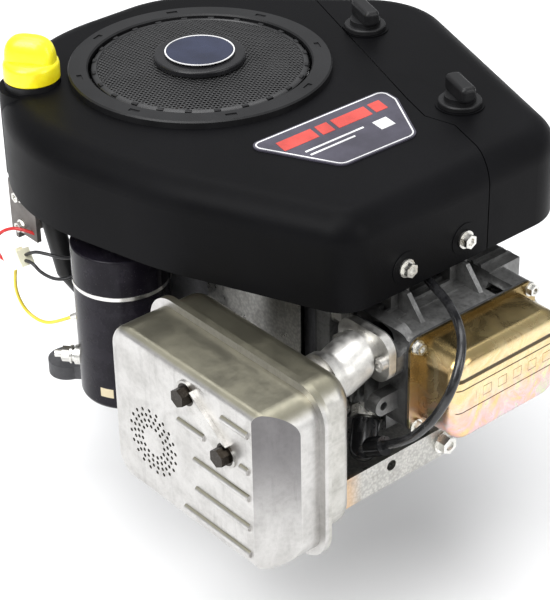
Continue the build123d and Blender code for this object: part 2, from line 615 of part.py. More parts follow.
def make_muffler_front():
    """Front half: a pressed shell with a wide slope on its right side and five long beads."""
    outer = plate_y(MUFFLER_X0, MUFFLER_X1, FRONT_Y, SEAM_Y, MUFFLER_Z0, MUFFLER_Z1, 20)
    inner = plate_y(MUFFLER_X0 + 2, MUFFLER_X1 - 2, FRONT_Y + 2, SEAM_Y + 1, MUFFLER_Z0 + 2, MUFFLER_Z1 - 2, 18)
    slope = Polygon((MUFFLER_X1 - 20, FRONT_Y), (MUFFLER_X1, FRONT_Y), (MUFFLER_X1, FRONT_Y + 27), align=None)
    outer = fillet(outer.faces().sort_by(Axis.Y)[0].edges(), 7)
    inner = fillet(inner.faces().sort_by(Axis.Y)[0].edges(), 5)
    outer -= slab(slope, MUFFLER_Z0 - 1, MUFFLER_Z1 + 1)
    inner -= slab(Pos(-2, 2) * slope, MUFFLER_Z0 - 1, MUFFLER_Z1 + 1)
    shell = outer - inner
    shell += plate_y(MUFFLER_X0 - 7, MUFFLER_X1 + 6, SEAM_Y - 3, SEAM_Y, MUFFLER_Z0 - 6, MUFFLER_Z1 + 6, 26) - plate_y(
        MUFFLER_X0 + 1, MUFFLER_X1 - 1, SEAM_Y - 4, SEAM_Y + 1, MUFFLER_Z0 + 1, MUFFLER_Z1 - 1, 19)
    for x, z, length in MUFFLER_BEADS:
        bead = rod(3, (x, FRONT_Y + 0.6, z), (x + length, FRONT_Y + 0.6, z))
        shell += bead & block(x - 5, x + length + 5, FRONT_Y - 5, FRONT_Y + 1.5, z - 4, z + 4)
    for ring, count in ((13, 15), (17.5, 20), (22, 25), (26.5, 20)):
        for hole in range(count):
            angle = 2 * pi * hole / count + ring
            x, z = OUTLET_X + ring * cos(angle), OUTLET_Z + ring * sin(angle)
            shell -= rod(1.5, (x, FRONT_Y - 1, z), (x, FRONT_Y + 3, z))
    for x, z in LOCK_BOLTS:
        shell -= rod(3.3, (x, FRONT_Y - 1, z), (x, FRONT_Y + 3, z))
    return shell


def make_muffler_back():
    """Back half with the inlet hole for the exhaust pipe."""
    outer = plate_y(MUFFLER_X0 - 3, MUFFLER_X1 - 8, BACK_Y - 37, BACK_Y, MUFFLER_Z0 + 2, MUFFLER_Z1 - 2, 22)
    outer = fillet(outer.faces().sort_by(Axis.Y)[-1].edges(), 12)
    inner = plate_y(MUFFLER_X0 - 1, MUFFLER_X1 - 10, BACK_Y - 38, BACK_Y - 2, MUFFLER_Z0 + 4, MUFFLER_Z1 - 4, 20)
    inner = fillet(inner.faces().sort_by(Axis.Y)[-1].edges(), 10)
    shell = outer - inner
    rim = plate_y(MUFFLER_X0 - 7, MUFFLER_X1 + 6, SEAM_Y, SEAM_Y + 3, MUFFLER_Z0 - 6, MUFFLER_Z1 + 6, 26)
    rim -= plate_y(MUFFLER_X0 - 1, MUFFLER_X1 - 10, SEAM_Y - 1, SEAM_Y + 4, MUFFLER_Z0 + 4, MUFFLER_Z1 - 4, 20)
    shell += rim
    return shell - rod(17, (PIPE_X, BACK_Y - 5, PIPE_Z), (PIPE_X, BACK_Y + 1, PIPE_Z))


def make_lock_plate():
    """Bent tab washer under the two muffler bolts."""
    (x0, z0), (x1, z1) = LOCK_BOLTS
    angle = degrees(atan2(z1 - z0, x1 - x0))
    length = sqrt((x1 - x0) ** 2 + (z1 - z0) ** 2)
    face = Plane(origin=(x0, FRONT_Y, z0), x_dir=RIGHT, z_dir=(0, -1, 0))
    strip = Rot(0, 0, angle) * Pos(length / 2, 0) * SlotOverall(length + 22, 17)
    plate = extrude(face * strip, 1.6)
    wall = Rot(0, 0, angle) * Pos(length / 2, 8) * Rectangle(length - 4, 1.6)
    plate += extrude(face * wall, 3.6)
    for x, z in LOCK_BOLTS:
        plate -= rod(3.3, (x, FRONT_Y - 5, z), (x, FRONT_Y + 1, z))
    return plate


def make_muffler_bolts():
    """Two black hex bolts through the muffler."""
    bolts = []
    for x, z in LOCK_BOLTS:
        seat = (x, FRONT_Y - 1.6, z)
        bolt = hex_bar(12.7, seat, step(seat, (0, -1, 0), 8))
        bolts.append(bolt + rod(3.1, step(seat, (0, 1, 0), 30), seat))
    return Compound(children=bolts)


def make_exhaust_pipe():
    """Pipe from the exhaust port into the muffler, with a flange at the head and a collar at the muffler."""
    route = [(PIPE_X, -59, PORT_Z), (PIPE_X, -72, PORT_Z), (PIPE_X, -94, PIPE_Z), (PIPE_X, BACK_Y + 0.2, PIPE_Z)]
    path = FilletPolyline(*route, radius=[24, 24])
    section = Plane(origin=path @ 0, z_dir=path % 0)
    body = sweep(section * Circle(19), path=path)
    body += rod(16.8, (PIPE_X, BACK_Y + 2, PIPE_Z), (PIPE_X, BACK_Y - 4, PIPE_Z))
    body += rod(21, (PIPE_X, BACK_Y + 0.2, PIPE_Z), (PIPE_X, BACK_Y + 6, PIPE_Z))
    body += plate_y(PIPE_X - 27, PIPE_X + 27, -66, -59, PORT_Z - 19.5, PORT_Z + 19.5, 14)
    body -= sweep(section * Circle(14), path=path)
    body -= pipe(30, 15.8, (PIPE_X, -73, PORT_Z), (PIPE_X, -66, PORT_Z))
    body -= rod(15, (PIPE_X, BACK_Y + 3, PIPE_Z), (PIPE_X, BACK_Y - 5, PIPE_Z))
    for side in (-1, 1):
        seat = (PIPE_X + FLANGE_BOLT * side, -66, PORT_Z)
        body -= rod(3.3, seat, step(seat, (0, 1, 0), 8))
    return body


def make_exhaust_bolts():
    """Socket-head screws of the exhaust flange."""
    screws = []
    for side in (-1, 1):
        screws.append(socket_screw((PIPE_X + FLANGE_BOLT * side, -66, PORT_Z), (0, -1, 0), 3, 20))
    return Compound(children=screws)


def make_exhaust_gasket():
    """Ring gasket at the exhaust port."""
    ring = plate_y(PIPE_X - 27, PIPE_X + 27, -59, -58, PORT_Z - 19.5, PORT_Z + 19.5, 14)
    for side in (-1, 1):
        x = PIPE_X + FLANGE_BOLT * side
        ring -= rod(3.3, (x, -60, PORT_Z), (x, -57, PORT_Z))
    return ring - rod(15.2, (PIPE_X, -60, PORT_Z), (PIPE_X, -57, PORT_Z))


def make_muffler_strap():
    """Steel strap from the head's lower boss to the back of the muffler."""
    strap = block(282, 285, -106, 9, 72, 98) + block(262, 285, -107.7, -104.7, 72, 98)
    strap -= rod(4.1, (281, -5, 85), (286, -5, 85))
    return strap - rod(4.5, (281, -58, 89), (286, -58, 89))


def make_cylinder_baffle():
    """Folded sheet beside and below the cylinder that keeps the cooling air on the fins."""
    wall = block(96, 204, -76.4, -75, 70.5, 200)
    tray = block(136, 280, -104, 5, 70.5, 71.9)
    baffle = wall + tray
    for x in (123.3, 195.3):
        for z in (125, 190):
            baffle += rod(3.5, (x, -75.2, z), (x, -72.2, z))
    return baffle


def make_strap_bolt():
    """Zinc bolt that holds the strap to the head."""
    return flanged_screw((285, -5, 85), RIGHT, 4, 16, 12.7, 7)


# ---------------------------------------------------------------- starter
STARTER_TOP = 206.0
STARTER_BOTTOM = 68.0
TERMINAL_OUT = (-0.75, -0.66, 0)


def make_starter_housing():
    """Steel tube of the starter motor, open at both ends."""
    centre = (STARTER_X, STARTER_Y)
    return pipe(STARTER_R, STARTER_R - 3, (*centre, STARTER_BOTTOM + 8), (*centre, 171))


def make_starter_end_cap():
    """Black brush-end cap with the terminal boss."""
    centre = (STARTER_X, STARTER_Y)
    cap = rod(STARTER_R, (*centre, STARTER_BOTTOM), (*centre, STARTER_BOTTOM + 8))
    cap = fillet(cap.edges().group_by(Axis.Z)[0], 5)
    cap += rod(STARTER_R - 3, (*centre, STARTER_BOTTOM + 7), (*centre, STARTER_BOTTOM + 13))
    return cap - rod(5 + RUNNING_FIT, (*centre, STARTER_BOTTOM + 4), (*centre, STARTER_BOTTOM + 14))


def make_starter_ring():
    """Bright ring between the motor tube and the drive end."""
    centre = (STARTER_X, STARTER_Y)
    return pipe(STARTER_R + 0.8, STARTER_R - 3, (*centre, 171), (*centre, 174))


def make_starter_drive_end():
    """Drive-end casting with its flat top and a foot on the crankcase side."""
    centre = (STARTER_X, STARTER_Y)
    end = rod(STARTER_R + 0.5, (*centre, 174), (*centre, STARTER_TOP))
    end = fillet(end.edges().group_by(Axis.Z)[-1], 1.5)
    end -= rod(STARTER_R - 5, (*centre, 173), (*centre, STARTER_TOP - 6))
    foot = block(STARTER_X - 26, STARTER_X + 26, STARTER_Y + 20, -73.5, 176, 186)
    foot -= rod(STARTER_R - 5, (*centre, 173), (*centre, STARTER_TOP))
    foot -= slab(case_outline(0.2), 150, 200)
    return end + foot - rod(5 + RUNNING_FIT, (*centre, 170), (*centre, STARTER_TOP + 1))


def make_starter_armature():
    """Motor armature on its shaft."""
    centre = (STARTER_X, STARTER_Y)
    armature = rod(27, (*centre, 92), (*centre, 162)) + rod(14, (*centre, 84), (*centre, 92))
    return armature + rod(5, (*centre, STARTER_BOTTOM + 5), (*centre, 244))


def make_starter_magnets():
    """Four curved magnets inside the motor tube."""
    centre = (STARTER_X, STARTER_Y)
    magnets = []
    ring = pipe(STARTER_R - 3, STARTER_R - 9, (*centre, 90), (*centre, 164))
    for quarter in range(4):
        wedge = Pos(STARTER_X, STARTER_Y, 0) * Rot(0, 0, 90 * quarter) * Pos(STARTER_R, 0, 127) * Box(30, 34, 80)
        magnets.append(ring & wedge)
    return Compound(children=magnets)


def make_starter_pinion():
    """Drive pinion that slides up its shaft toward the ring gear."""
    gear = spur_gear(RING_GEAR_MODULE, 12, 0, 11) + rod(9, (0, 0, -0.5), (0, 0, 0.5)) + rod(8, (0, 0, 11), (0, 0, 16))
    gear -= rod(5 + RUNNING_FIT, (0, 0, -1), (0, 0, 17))
    return Pos(STARTER_X, STARTER_Y, STARTER_TOP + 2.5) * gear


def make_starter_terminal():
    """Threaded stud with its nut and washer."""
    base = step((STARTER_X, STARTER_Y, 94), TERMINAL_OUT, STARTER_R + 4)
    stud = rod(3, base, step(base, TERMINAL_OUT, 17))
    nut = hex_bar(11, step(base, TERMINAL_OUT, 4), step(base, TERMINAL_OUT, 11))
    return stud + nut + rod(7.5, step(base, TERMINAL_OUT, 2.5), step(base, TERMINAL_OUT, 4))


def make_starter_terminal_base():
    """Insulating block under the terminal stud."""
    wall = step((STARTER_X, STARTER_Y, 94), TERMINAL_OUT, STARTER_R - 1)
    base = rod(8, wall, step(wall, TERMINAL_OUT, 5)) + rod(6, wall, step(wall, TERMINAL_OUT, 7.5))
    base -= rod(3, step(wall, TERMINAL_OUT, 5), step(wall, TERMINAL_OUT, 8))
    return base - rod(STARTER_R, (STARTER_X, STARTER_Y, 60), (STARTER_X, STARTER_Y, 130))


# ---------------------------------------------------------------- blower housing and what sits on it
DIPSTICK_X = -70.0
DIPSTICK_Y = -113.0
BOSS_R = 27.0
KNOBS = ((35.0, 146.0), (185.0, 105.0))
BADGE_TOP = SHROUD_TOP + 1.2


def shroud_outline(grow):
    """Outline of the housing's skirt: round past the flywheel, square past the cylinder."""
    corners = [(262, -80), (262, 143), (14, 234), (-148, 72), (-148, -201.6), (120, -140)]
    radii = [30, 45, 70, 90, 152, 250]
    loop = FilletPolyline(*corners, radius=radii, close=True)
    return offset(make_face(loop), grow) if grow else make_face(loop)


def shroud_shell():
    """Closed-top shell over the whole flywheel, cylinder and air cleaner."""
    outer = slab(shroud_outline(0), SKIRT_Z, SHROUD_TOP)
    outer = fillet(outer.edges().group_by(Axis.Z)[-1], SHROUD_EDGE_R)
    inner = slab(shroud_outline(-SHROUD_WALL), SKIRT_Z - 1, SHROUD_TOP - SHROUD_WALL)
    inner = fillet(inner.edges().group_by(Axis.Z)[-1], SHROUD_EDGE_R - SHROUD_WALL)
    return outer - inner


def cover_region(shift):
    """Everything on the air cleaner's side of the cover seam."""
    seam = [(-120, 187), (151, 82), (180, 72), (206, 78), (300, 46)]
    points = [(x, y + shift) for x, y in seam] + [(300, 300), (-120, 300)]
    return slab(Polygon(*points, align=None), 200, 320)


def make_blower_housing(shell):
    """Black plastic housing with the dipstick boss, screw lugs and the round air inlet."""
    housing = shell
    housing += rod(BOSS_R, (DIPSTICK_X, DIPSTICK_Y, SKIRT_Z), (DIPSTICK_X, DIPSTICK_Y, SHROUD_TOP - 2))
    housing += pipe(RING_OUTER_R - 2, RING_INNER_R - 1.5, (0, 0, SHROUD_TOP - 4), (0, 0, SHROUD_TOP + 1.5))
    housing -= cover_region(0)
    housing -= rod(RING_INNER_R - 1.5, (0, 0, 250), (0, 0, SHROUD_TOP + 10))
    housing -= rod(BOSS_R - 4, (DIPSTICK_X, DIPSTICK_Y, SKIRT_Z - 1), (DIPSTICK_X, DIPSTICK_Y, SHROUD_TOP - 6))
    housing -= rod(17.5, (DIPSTICK_X, DIPSTICK_Y, SHROUD_TOP - 10), (DIPSTICK_X, DIPSTICK_Y, SHROUD_TOP))
    housing -= rod(22.5, (DIPSTICK_X, DIPSTICK_Y, SHROUD_TOP - 2), (DIPSTICK_X, DIPSTICK_Y, SHROUD_TOP + 4))
    housing -= rod(121, (0, 0, SKIRT_Z - 1), (0, 0, SHROUD_TOP - 6))
    for y in (-25, 35):
        housing += rod(13, (258, y, 237), (262.5, y, 237)) & block(250, 270, y - 14, y + 14, SKIRT_Z, 260)
        housing -= rod(4, (250, y, 237), (270, y, 237))
    return housing


def make_air_cleaner_cover(shell):
    """Lift-off part of the housing over the air cleaner, with two holes for its knobs."""
    cover = shell & cover_region(1.0)
    for x, y in KNOBS:
        cover += rod(19, (x, y, SHROUD_TOP - 2.9), (x, y, SHROUD_TOP + 1)) & cover_region(1.0)
        cover -= rod(3.6, (x, y, SHROUD_TOP - 6), (x, y, SHROUD_TOP + 2))
    return cover


def make_guard_ring():
    """Flat ring round the screen, clipped on the housing."""
    top = SHROUD_TOP + 6
    ring = pipe(RING_OUTER_R, RING_INNER_R - 1.5, (0, 0, SHROUD_TOP + 1.5), (0, 0, top))
    ring = chamfer(ring.edges().group_by(Axis.Z)[-1], 1.2)
    ring += pipe(RING_OUTER_R, RING_OUTER_R - 2, (0, 0, SHROUD_TOP), (0, 0, SHROUD_TOP + 1.5))
    for clip in range(8):
        notch = slab(Rot(0, 0, 45 * clip + 20) * Pos(97, 0) * Rectangle(4, 9), top - 0.8, top + 1)
        ring -= notch
    return ring


def make_badge_plate():
    """Badge plate set on the flat in front of the knobs."""
    corners = [(127, -62), (128, 78), (147, 76), (200, 46), (198, -27)]
    outline = make_face(FilletPolyline(*corners, radius=[8, 8, 10, 12, 10], close=True))
    return slab(outline, SHROUD_TOP, BADGE_TOP)


def make_cover_knob(x, y):
    """Knob with a round foot and a bar grip, on its stud."""
    foot_z = SHROUD_TOP + 1.3
    foot = rod(17, (x, y, foot_z), (x, y, foot_z + 4))
    foot = fillet(foot.edges().group_by(Axis.Z)[-1], 1.5)
    hub = rod(12.5, (x, y, foot_z + 3), (x, y, foot_z + 8))
    grip = Pos(x, y, foot_z + 13) * Rot(0, 0, -20) * Box(33, 13, 14)
    grip = fillet(grip.edges(), 4)
    return foot + hub + grip + rod(3.5, (x, y, 276), (x, y, foot_z + 1))


def make_shroud_screws():
    """Two flanged screws through the housing's front lugs."""
    return Compound(children=[flanged_screw((262.6, y, 237), RIGHT, 3, 17, 10, 5) for y in (-25, 35)])


def make_filler_grommet():
    """Black rubber collar where the oil filler passes the housing."""
    base = (DIPSTICK_X, DIPSTICK_Y)
    collar = pipe(22, 13, (*base, SHROUD_TOP - 2), (*base, SHROUD_TOP + 4))
    return collar + pipe(17.4, 13, (*base, SHROUD_TOP - 8), (*base, SHROUD_TOP - 1))


def make_oil_fill_tube():
    """Tube from the crankcase up to the dipstick."""
    foot, knee = (-50, -72, 70), (-62, -101, 120)
    top = (DIPSTICK_X, DIPSTICK_Y, SHROUD_TOP + 4)
    shoulder = (DIPSTICK_X, DIPSTICK_Y, 200)
    outer = rod(9, foot, knee) + Pos(*knee) * Sphere(9) + rod(9, knee, shoulder)
    outer += Pos(*shoulder) * Sphere(9) + rod(9, shoulder, (DIPSTICK_X, DIPSTICK_Y, 280))
    outer += rod(12.6, (DIPSTICK_X, DIPSTICK_Y, 278), top)
    bore = rod(7, foot, knee) + Pos(*knee) * Sphere(7) + rod(7, knee, shoulder)
    bore += Pos(*shoulder) * Sphere(7) + rod(7, shoulder, (DIPSTICK_X, DIPSTICK_Y, SHROUD_TOP + 5))
    return outer - bore - slab(case_outline(0.1), 40, 210)


def make_dipstick():
    """Yellow cap with a wedge grip and the flat gauge rod under it."""
    base = (DIPSTICK_X, DIPSTICK_Y)
    foot_z = SHROUD_TOP + 4.3
    cap = rod(22.5, (*base, foot_z), (*base, foot_z + 17))
    cap = fillet(cap.edges().group_by(Axis.Z)[-1], 4)
    grip = Pos(DIPSTICK_X, DIPSTICK_Y, foot_z + 23) * Rot(0, 0, 35) * Box(42, 20, 26)
    grip = fillet(grip.edges(), 8)
    return cap + grip + rod(6.6, (*base, 286), (*base, foot_z + 1)) + rod(2, (*base, 206), (*base, 287))


# ---------------------------------------------------------------- ignition, charging and wiring
COIL_X = 118.0


def make_stator():
    """Charging coils on a laminated ring under the flywheel."""
    pole_z0, pole_z1 = BLOCK_TOP + 13, BLOCK_TOP + 25
    stator = pipe(52, 38, (0, 0, BLOCK_TOP + 0.2), (0, 0, pole_z1 + 1))
    shape = Pos(70, 0) * Rectangle(40, 8) + Pos(70, 0) * Rectangle(26, 15) + Pos(92, 0) * Rectangle(6, 20)
    for pole in range(12):
        stator += slab(Rot(0, 0, 30 * pole) * shape, pole_z0, pole_z1)
    return stator


def make_ignition_coil():
    """Ignition coil on two laminated legs beside the flywheel rim."""
    legs = block(COIL_X + 2, COIL_X + 44, 0, 9, 222, 236) + block(COIL_X + 2, COIL_X + 44, 31, 40, 222, 236)
    legs += block(COIL_X + 34, COIL_X + 44, 0, 40, 222, 236)
    coil = block(COIL_X + 8, COIL_X + 33, -5, 45, 216, 242)
    coil = fillet(coil.edges().filter_by(Axis.Z), 5)
    coil += rod(6, (COIL_X + 20, 20, 229), (COIL_X + 52, 20, 229))
    coil += legs
    for y in (4.5, 35.5):
        coil += rod(4.5, (COIL_X + 39, y, BLOCK_TOP - 2), (COIL_X + 39, y, 223))
    return coil - rod(56 + RUNNING_FIT, (COIL_X, 0, CYLINDER_Z), (DECK_X, 0, CYLINDER_Z))


def make_spark_plug_lead():
    """Lead from the coil, out under the housing and down in front of the rocker cover to its boot."""
    boot_top = step(PLUG_SEAT, PLUG_OUT, BOOT_REACH)
    entry = step(boot_top, BOOT_NECK, 24)
    route = [(COIL_X + 52, 20, 229), (COIL_X + 80, 19, 227), (226, 12, 218), (258, 3, 212), (292, -9, 213),
             (322, -28, 214), (338, -43, 207), (343, -56, 188), (337, -64, 166), (323, -66, 145), (304, -63, 124),
             entry]
    return bent_tube(CABLE_R, route)


def make_voltage_regulator():
    """Finned regulator plate under the housing beside the starter."""
    plate = block(-92, -88, -128, -92, 150, 206) + block(-92, -56, -131, -127, 160, 206)
    for fin in range(4):
        plate += block(-99, -91, -124 + 9 * fin, -121 + 9 * fin, 155, 200)
    for z in (168, 196):
        plate -= rod(2.6, (-76, -132, z), (-76, -126, z))
    return plate


def make_regulator_screws():
    """Two screws of the regulator plate."""
    return Compound(children=[flanged_screw((-76, -131, z), (0, -1, 0), 2.5, 3.9, 8, 4) for z in (168, 196)])


CONNECTOR = (-57.0, -150.0, 152.0)                 # middle of the wiring connector
CONNECTOR_TILT = 32.8


def make_harness_connector():
    """Pale plug at the end of the wiring, with a latch on top."""
    shell = Box(26, 12, 14) + Pos(2, 0, 7.5) * Box(12, 6, 3)
    return Pos(*CONNECTOR) * Rot(0, -CONNECTOR_TILT, 0) * shell


def make_harness_wires():
    """The wires that leave the connector, by name."""
    routes = {
        "red_wire": [(-66, -150, 148), (-77, -151.5, 141.5), (-89, -150.5, 146), (-91, -148, 158), (-82, -144, 167),
                     (-70, -138, 171), (-60, -129.5, 166)],
        "yellow_wire": [(-61, -150, 146), (-66, -150, 130), (-68, -148, 112), (-62, -144, 96), (-44, -140, 92),
                        (-26, -136, 101), (-10, -132, 112)],
        "black_wire_upper": [(-50, -149, 158), (-37, -149, 168), (-24, -145, 170), (-12, -136, 167), (-7, -125, 166),
                             (-7, -113, 166)],
        "black_wire_lower": [(-49, -151, 155), (-37, -151, 160), (-27, -149, 152), (-15, -141, 147), (-7, -128, 150),
                             (-7, -113, 154)],
    }
    return {name: bent_tube(WIRE_R, route) for name, route in routes.items()}


def make_wire_sleeve():
    """Cream sleeve over the yellow wire's terminal."""
    return rod(2.6, (-12, -132.5, 110.6), (2, -128.3, 119.5))


def make_starter_tab():
    """Terminal tab on the side of the starter."""
    tab = block(1.5, 12, -132, -124, 115, 124)
    return tab - rod(STARTER_R, (STARTER_X, STARTER_Y, 60), (STARTER_X, STARTER_Y, 180))


def make_harness_clip():
    """Plastic clip on the crankcase that the black wires run into."""
    clip = block(-13, -1, -115, -84, 147, 173)
    return clip - slab(case_outline(0), 100, 200)


# ---------------------------------------------------------------- intake side
CARB_Y = 128.0
CARB_Z = 120.0
CARB_BORE_R = 14.0
THROTTLE_X = 184.0
CHOKE_X = 158.0


def make_intake_manifold():
    """Bent pipe from the head's intake port to the carburettor."""
    start, knee, end = (236, 97, CARB_Z), (236, CARB_Y, CARB_Z), (202, CARB_Y, CARB_Z)
    pipe_wall = rod(17, start, knee) + Pos(*knee) * Sphere(17) + rod(17, knee, end)
    flange = plate_y(212, 260, 97, 102, CARB_Z - 16, CARB_Z + 16, 12)
    carb_flange = block(202, 207, CARB_Y - 24, CARB_Y + 24, CARB_Z - 17, CARB_Z + 17)
    body = pipe_wall + flange + carb_flange
    body -= rod(13, (236, 90, CARB_Z), knee) + Pos(*knee) * Sphere(13) + rod(13, knee, (200, CARB_Y, CARB_Z))
    for side in (-1, 1):
        body -= rod(3.3, (236 + 17 * side, 96, CARB_Z), (236 + 17 * side, 103, CARB_Z))
        body -= rod(6.2, (236 + 17 * side, 102, CARB_Z), (236 + 17 * side, 125, CARB_Z))
        body -= rod(3.3, (201, CARB_Y + 19 * side, CARB_Z), (208, CARB_Y + 19 * side, CARB_Z))
    return body


def make_manifold_screws():
    """Screws of the manifold at the head, and long studs of the carburettor."""
    screws = []
    for side in (-1, 1):
        screws.append(socket_screw((236 + 17 * side, 102, CARB_Z), (0, 1, 0), 3, 18))
        screws.append(flanged_screw((207, CARB_Y + 19 * side, CARB_Z), RIGHT, 3, 66, 8, 4))
    return Compound(children=screws)


def make_carburettor():
    """Carburettor body with its bore along X and bosses for the two shafts."""
    body = rod(18, (142, CARB_Y, CARB_Z), (202, CARB_Y, CARB_Z))
    for x0 in (142, 197):
        body += plate_x(x0, x0 + 5, CARB_Y - 24, CARB_Y + 24, CARB_Z - 17, CARB_Z + 17, 6)
    for x in (THROTTLE_X, CHOKE_X):
        body += rod(6, (x, CARB_Y, CARB_Z - 20), (x, CARB_Y, CARB_Z + 24))
    body += rod(9, (171, CARB_Y, CARB_Z - 24), (171, CARB_Y, CARB_Z))
    body += rod(24, (171, CARB_Y, CARB_Z - 27), (171, CARB_Y, CARB_Z - 22))
    body -= rod(CARB_BORE_R, (141, CARB_Y, CARB_Z), (203, CARB_Y, CARB_Z))
    for x in (THROTTLE_X, CHOKE_X):
        body -= rod(3 + RUNNING_FIT, (x, CARB_Y, CARB_Z - 18), (x, CARB_Y, CARB_Z + 25))
    for side in (-1, 1):
        body -= rod(3.3, (141, CARB_Y + 19 * side, CARB_Z), (203, CARB_Y + 19 * side, CARB_Z))
    return body


def make_float_bowl():
    """Pressed float bowl with its bottom nut."""
    bowl = rod(24, (171, CARB_Y, CARB_Z - 55), (171, CARB_Y, CARB_Z - 27))
    bowl = fillet(bowl.edges().group_by(Axis.Z)[0], 6)
    bowl -= rod(22, (171, CARB_Y, CARB_Z - 53), (171, CARB_Y, CARB_Z - 26))
    inlet = pipe(3.2, 1.6, (171, CARB_Y + 23, CARB_Z - 34), (171, CARB_Y + 45, CARB_Z - 34))
    return bowl + inlet + hex_bar(14, (171, CARB_Y, CARB_Z - 60), (171, CARB_Y, CARB_Z - 54.5))


def make_butterfly(x, arm_turn, reach):
    """Shaft with its round plate across the bore and an arm on top."""
    shaft = rod(3, (x, CARB_Y, CARB_Z - 17.5), (x, CARB_Y, CARB_Z + 29))
    disc = rod(CARB_BORE_R - 0.15, (x - 0.8, CARB_Y, CARB_Z), (x + 0.8, CARB_Y, CARB_Z))
    arm = Pos(x, CARB_Y) * Rot(0, 0, arm_turn) * Pos(reach / 2, 0) * SlotOverall(reach + 10, 10)
    lever = slab(arm, CARB_Z + 24.5, CARB_Z + 27)
    hole_x = x + reach * cos(radians(arm_turn))
    hole_y = CARB_Y + reach * sin(radians(arm_turn))
    return shaft + disc + lever - rod(1.8, (hole_x, hole_y, CARB_Z + 20), (hole_x, hole_y, CARB_Z + 30))


GOVERNOR_X = 86.0
ARM_REACH = 24.0
CHOKE_REACH = 13.0


def make_governor_lever():
    """Lever on the governor shaft beside the crankcase, parallel to the throttle arm."""
    lever = Pos(GOVERNOR_X, CARB_Y) * Rot(0, 0, -90) * Pos(12, 0) * SlotOverall(34, 10)
    shaft = rod(3.5, (GOVERNOR_X, CARB_Y, CARB_Z - 5), (GOVERNOR_X, CARB_Y, CARB_Z + 29))
    body = slab(lever, CARB_Z + 24.5, CARB_Z + 27) + shaft
    hole_y = CARB_Y - ARM_REACH
    return body - rod(1.8, (GOVERNOR_X, hole_y, CARB_Z + 20), (GOVERNOR_X, hole_y, CARB_Z + 30))


def make_governor_link():
    """Wire link from the governor lever to the throttle arm."""
    y = CARB_Y - ARM_REACH
    link = rod(1.6, (GOVERNOR_X, y, CARB_Z + 22), (GOVERNOR_X, y, CARB_Z + 31))
    link += rod(1.6, (GOVERNOR_X - 1, y, CARB_Z + 30), (THROTTLE_X + 1, y, CARB_Z + 30))
    return link + rod(1.6, (THROTTLE_X, y, CARB_Z + 22), (THROTTLE_X, y, CARB_Z + 31))


def make_governor_bracket():
    """Bracket on the crankcase that carries the governor shaft and the control lever."""
    plate = block(70, 99, 108, 140, CARB_Z - 6, CARB_Z - 2) + block(50, 99, 108, 114, CARB_Z - 26, CARB_Z - 2)
    plate += rod(7, (GOVERNOR_X, CARB_Y, CARB_Z - 6), (GOVERNOR_X, CARB_Y, CARB_Z + 20))
    plate -= slab(case_outline(0), 40, 200)
    return plate - rod(3.5 + RUNNING_FIT, (GOVERNOR_X, CARB_Y, CARB_Z - 7), (GOVERNOR_X, CARB_Y, CARB_Z + 21))


CONTROL_X = 30.0
CONTROL_Y = 166.0


def make_control_bracket():
    """Speed control plate on the crankcase's side."""
    plate = block(0, 62, 151, 178, 176, 179) + block(0, 62, 151, 154, 150, 176)
    plate -= slab(case_outline(0), 40, 200)
    return plate - rod(3 + RUNNING_FIT, (CONTROL_X, CONTROL_Y, 170), (CONTROL_X, CONTROL_Y, 181))


def make_control_lever():
    """Speed control lever on its pivot rivet."""
    lever = Pos(CONTROL_X, CONTROL_Y) * Rot(0, 0, 60) * Pos(14, 0) * SlotOverall(44, 12)
    body = slab(lever, 179.1, 181.6) + rod(5.5, (CONTROL_X, CONTROL_Y, 181), (CONTROL_X, CONTROL_Y, 184))
    body += rod(3, (CONTROL_X, CONTROL_Y, 174), (CONTROL_X, CONTROL_Y, 182))
    hole = (CONTROL_X + 28 * cos(radians(60)), CONTROL_Y + 28 * sin(radians(60)))
    return body - rod(2.2, (*hole, 170), (*hole, 190))


def make_intake_elbow():
    """Plastic elbow from the air cleaner down to the carburettor."""
    route = [(142, CARB_Y, CARB_Z), (118, CARB_Y, CARB_Z), (118, CARB_Y + 20, CARB_Z + 60), (118, CARB_Y + 20, 224)]
    path = FilletPolyline(*route, radius=[22, 40])
    section = Plane(origin=path @ 0, z_dir=path % 0)
    body = sweep(section * Circle(17), path=path)
    body += plate_x(137, 142, CARB_Y - 24, CARB_Y + 24, CARB_Z - 17, CARB_Z + 17, 6)
    body -= sweep(section * Circle(14), path=path)
    for side in (-1, 1):
        body -= rod(3.3, (130, CARB_Y + 19 * side, CARB_Z), (143, CARB_Y + 19 * side, CARB_Z))
        body -= rod(6, (120, CARB_Y + 19 * side, CARB_Z), (137, CARB_Y + 19 * side, CARB_Z))
    return body


def air_cleaner_place(width, depth):
    """Rectangle under the cover, in line with its outer wall."""
    return Pos(112, 146) * Rot(0, 0, -20) * RectangleRounded(width, depth, 8)


def make_air_cleaner_base():
    """Tray that holds the filter, with two threaded posts for the knobs."""
    tray = slab(air_cleaner_place(186, 70), 224, 262) - slab(air_cleaner_place(180, 64), 227, 263)
    tray -= rod(14.2, (118, CARB_Y + 20, 220), (118, CARB_Y + 20, 230))
    for x, y in KNOBS:
        tray += rod(8, (x, y, 224), (x, y, 284))
        tray -= rod(3.6, (x, y, 272), (x, y, 285))
    return tray


def make_air_filter():
    """Pleated paper filter with its rubber rim."""
    rim = slab(air_cleaner_place(178, 62), 250, 256)
    pleats = slab(air_cleaner_place(160, 48), 232, 272)
    pack = rim + pleats
    for x, y in KNOBS:
        pack -= rod(9, (x, y, 220), (x, y, 290))
    return pack


def make_breather_cover():
    """Breather cover with its hose stub, on top of the crankcase."""
    plate = block(-50, -14, 112, 140, BLOCK_TOP, BLOCK_TOP + 5)
    stub = pipe(6, 4, (-32, 126, BLOCK_TOP + 4), (-32, 126, BLOCK_TOP + 18))
    return plate + stub


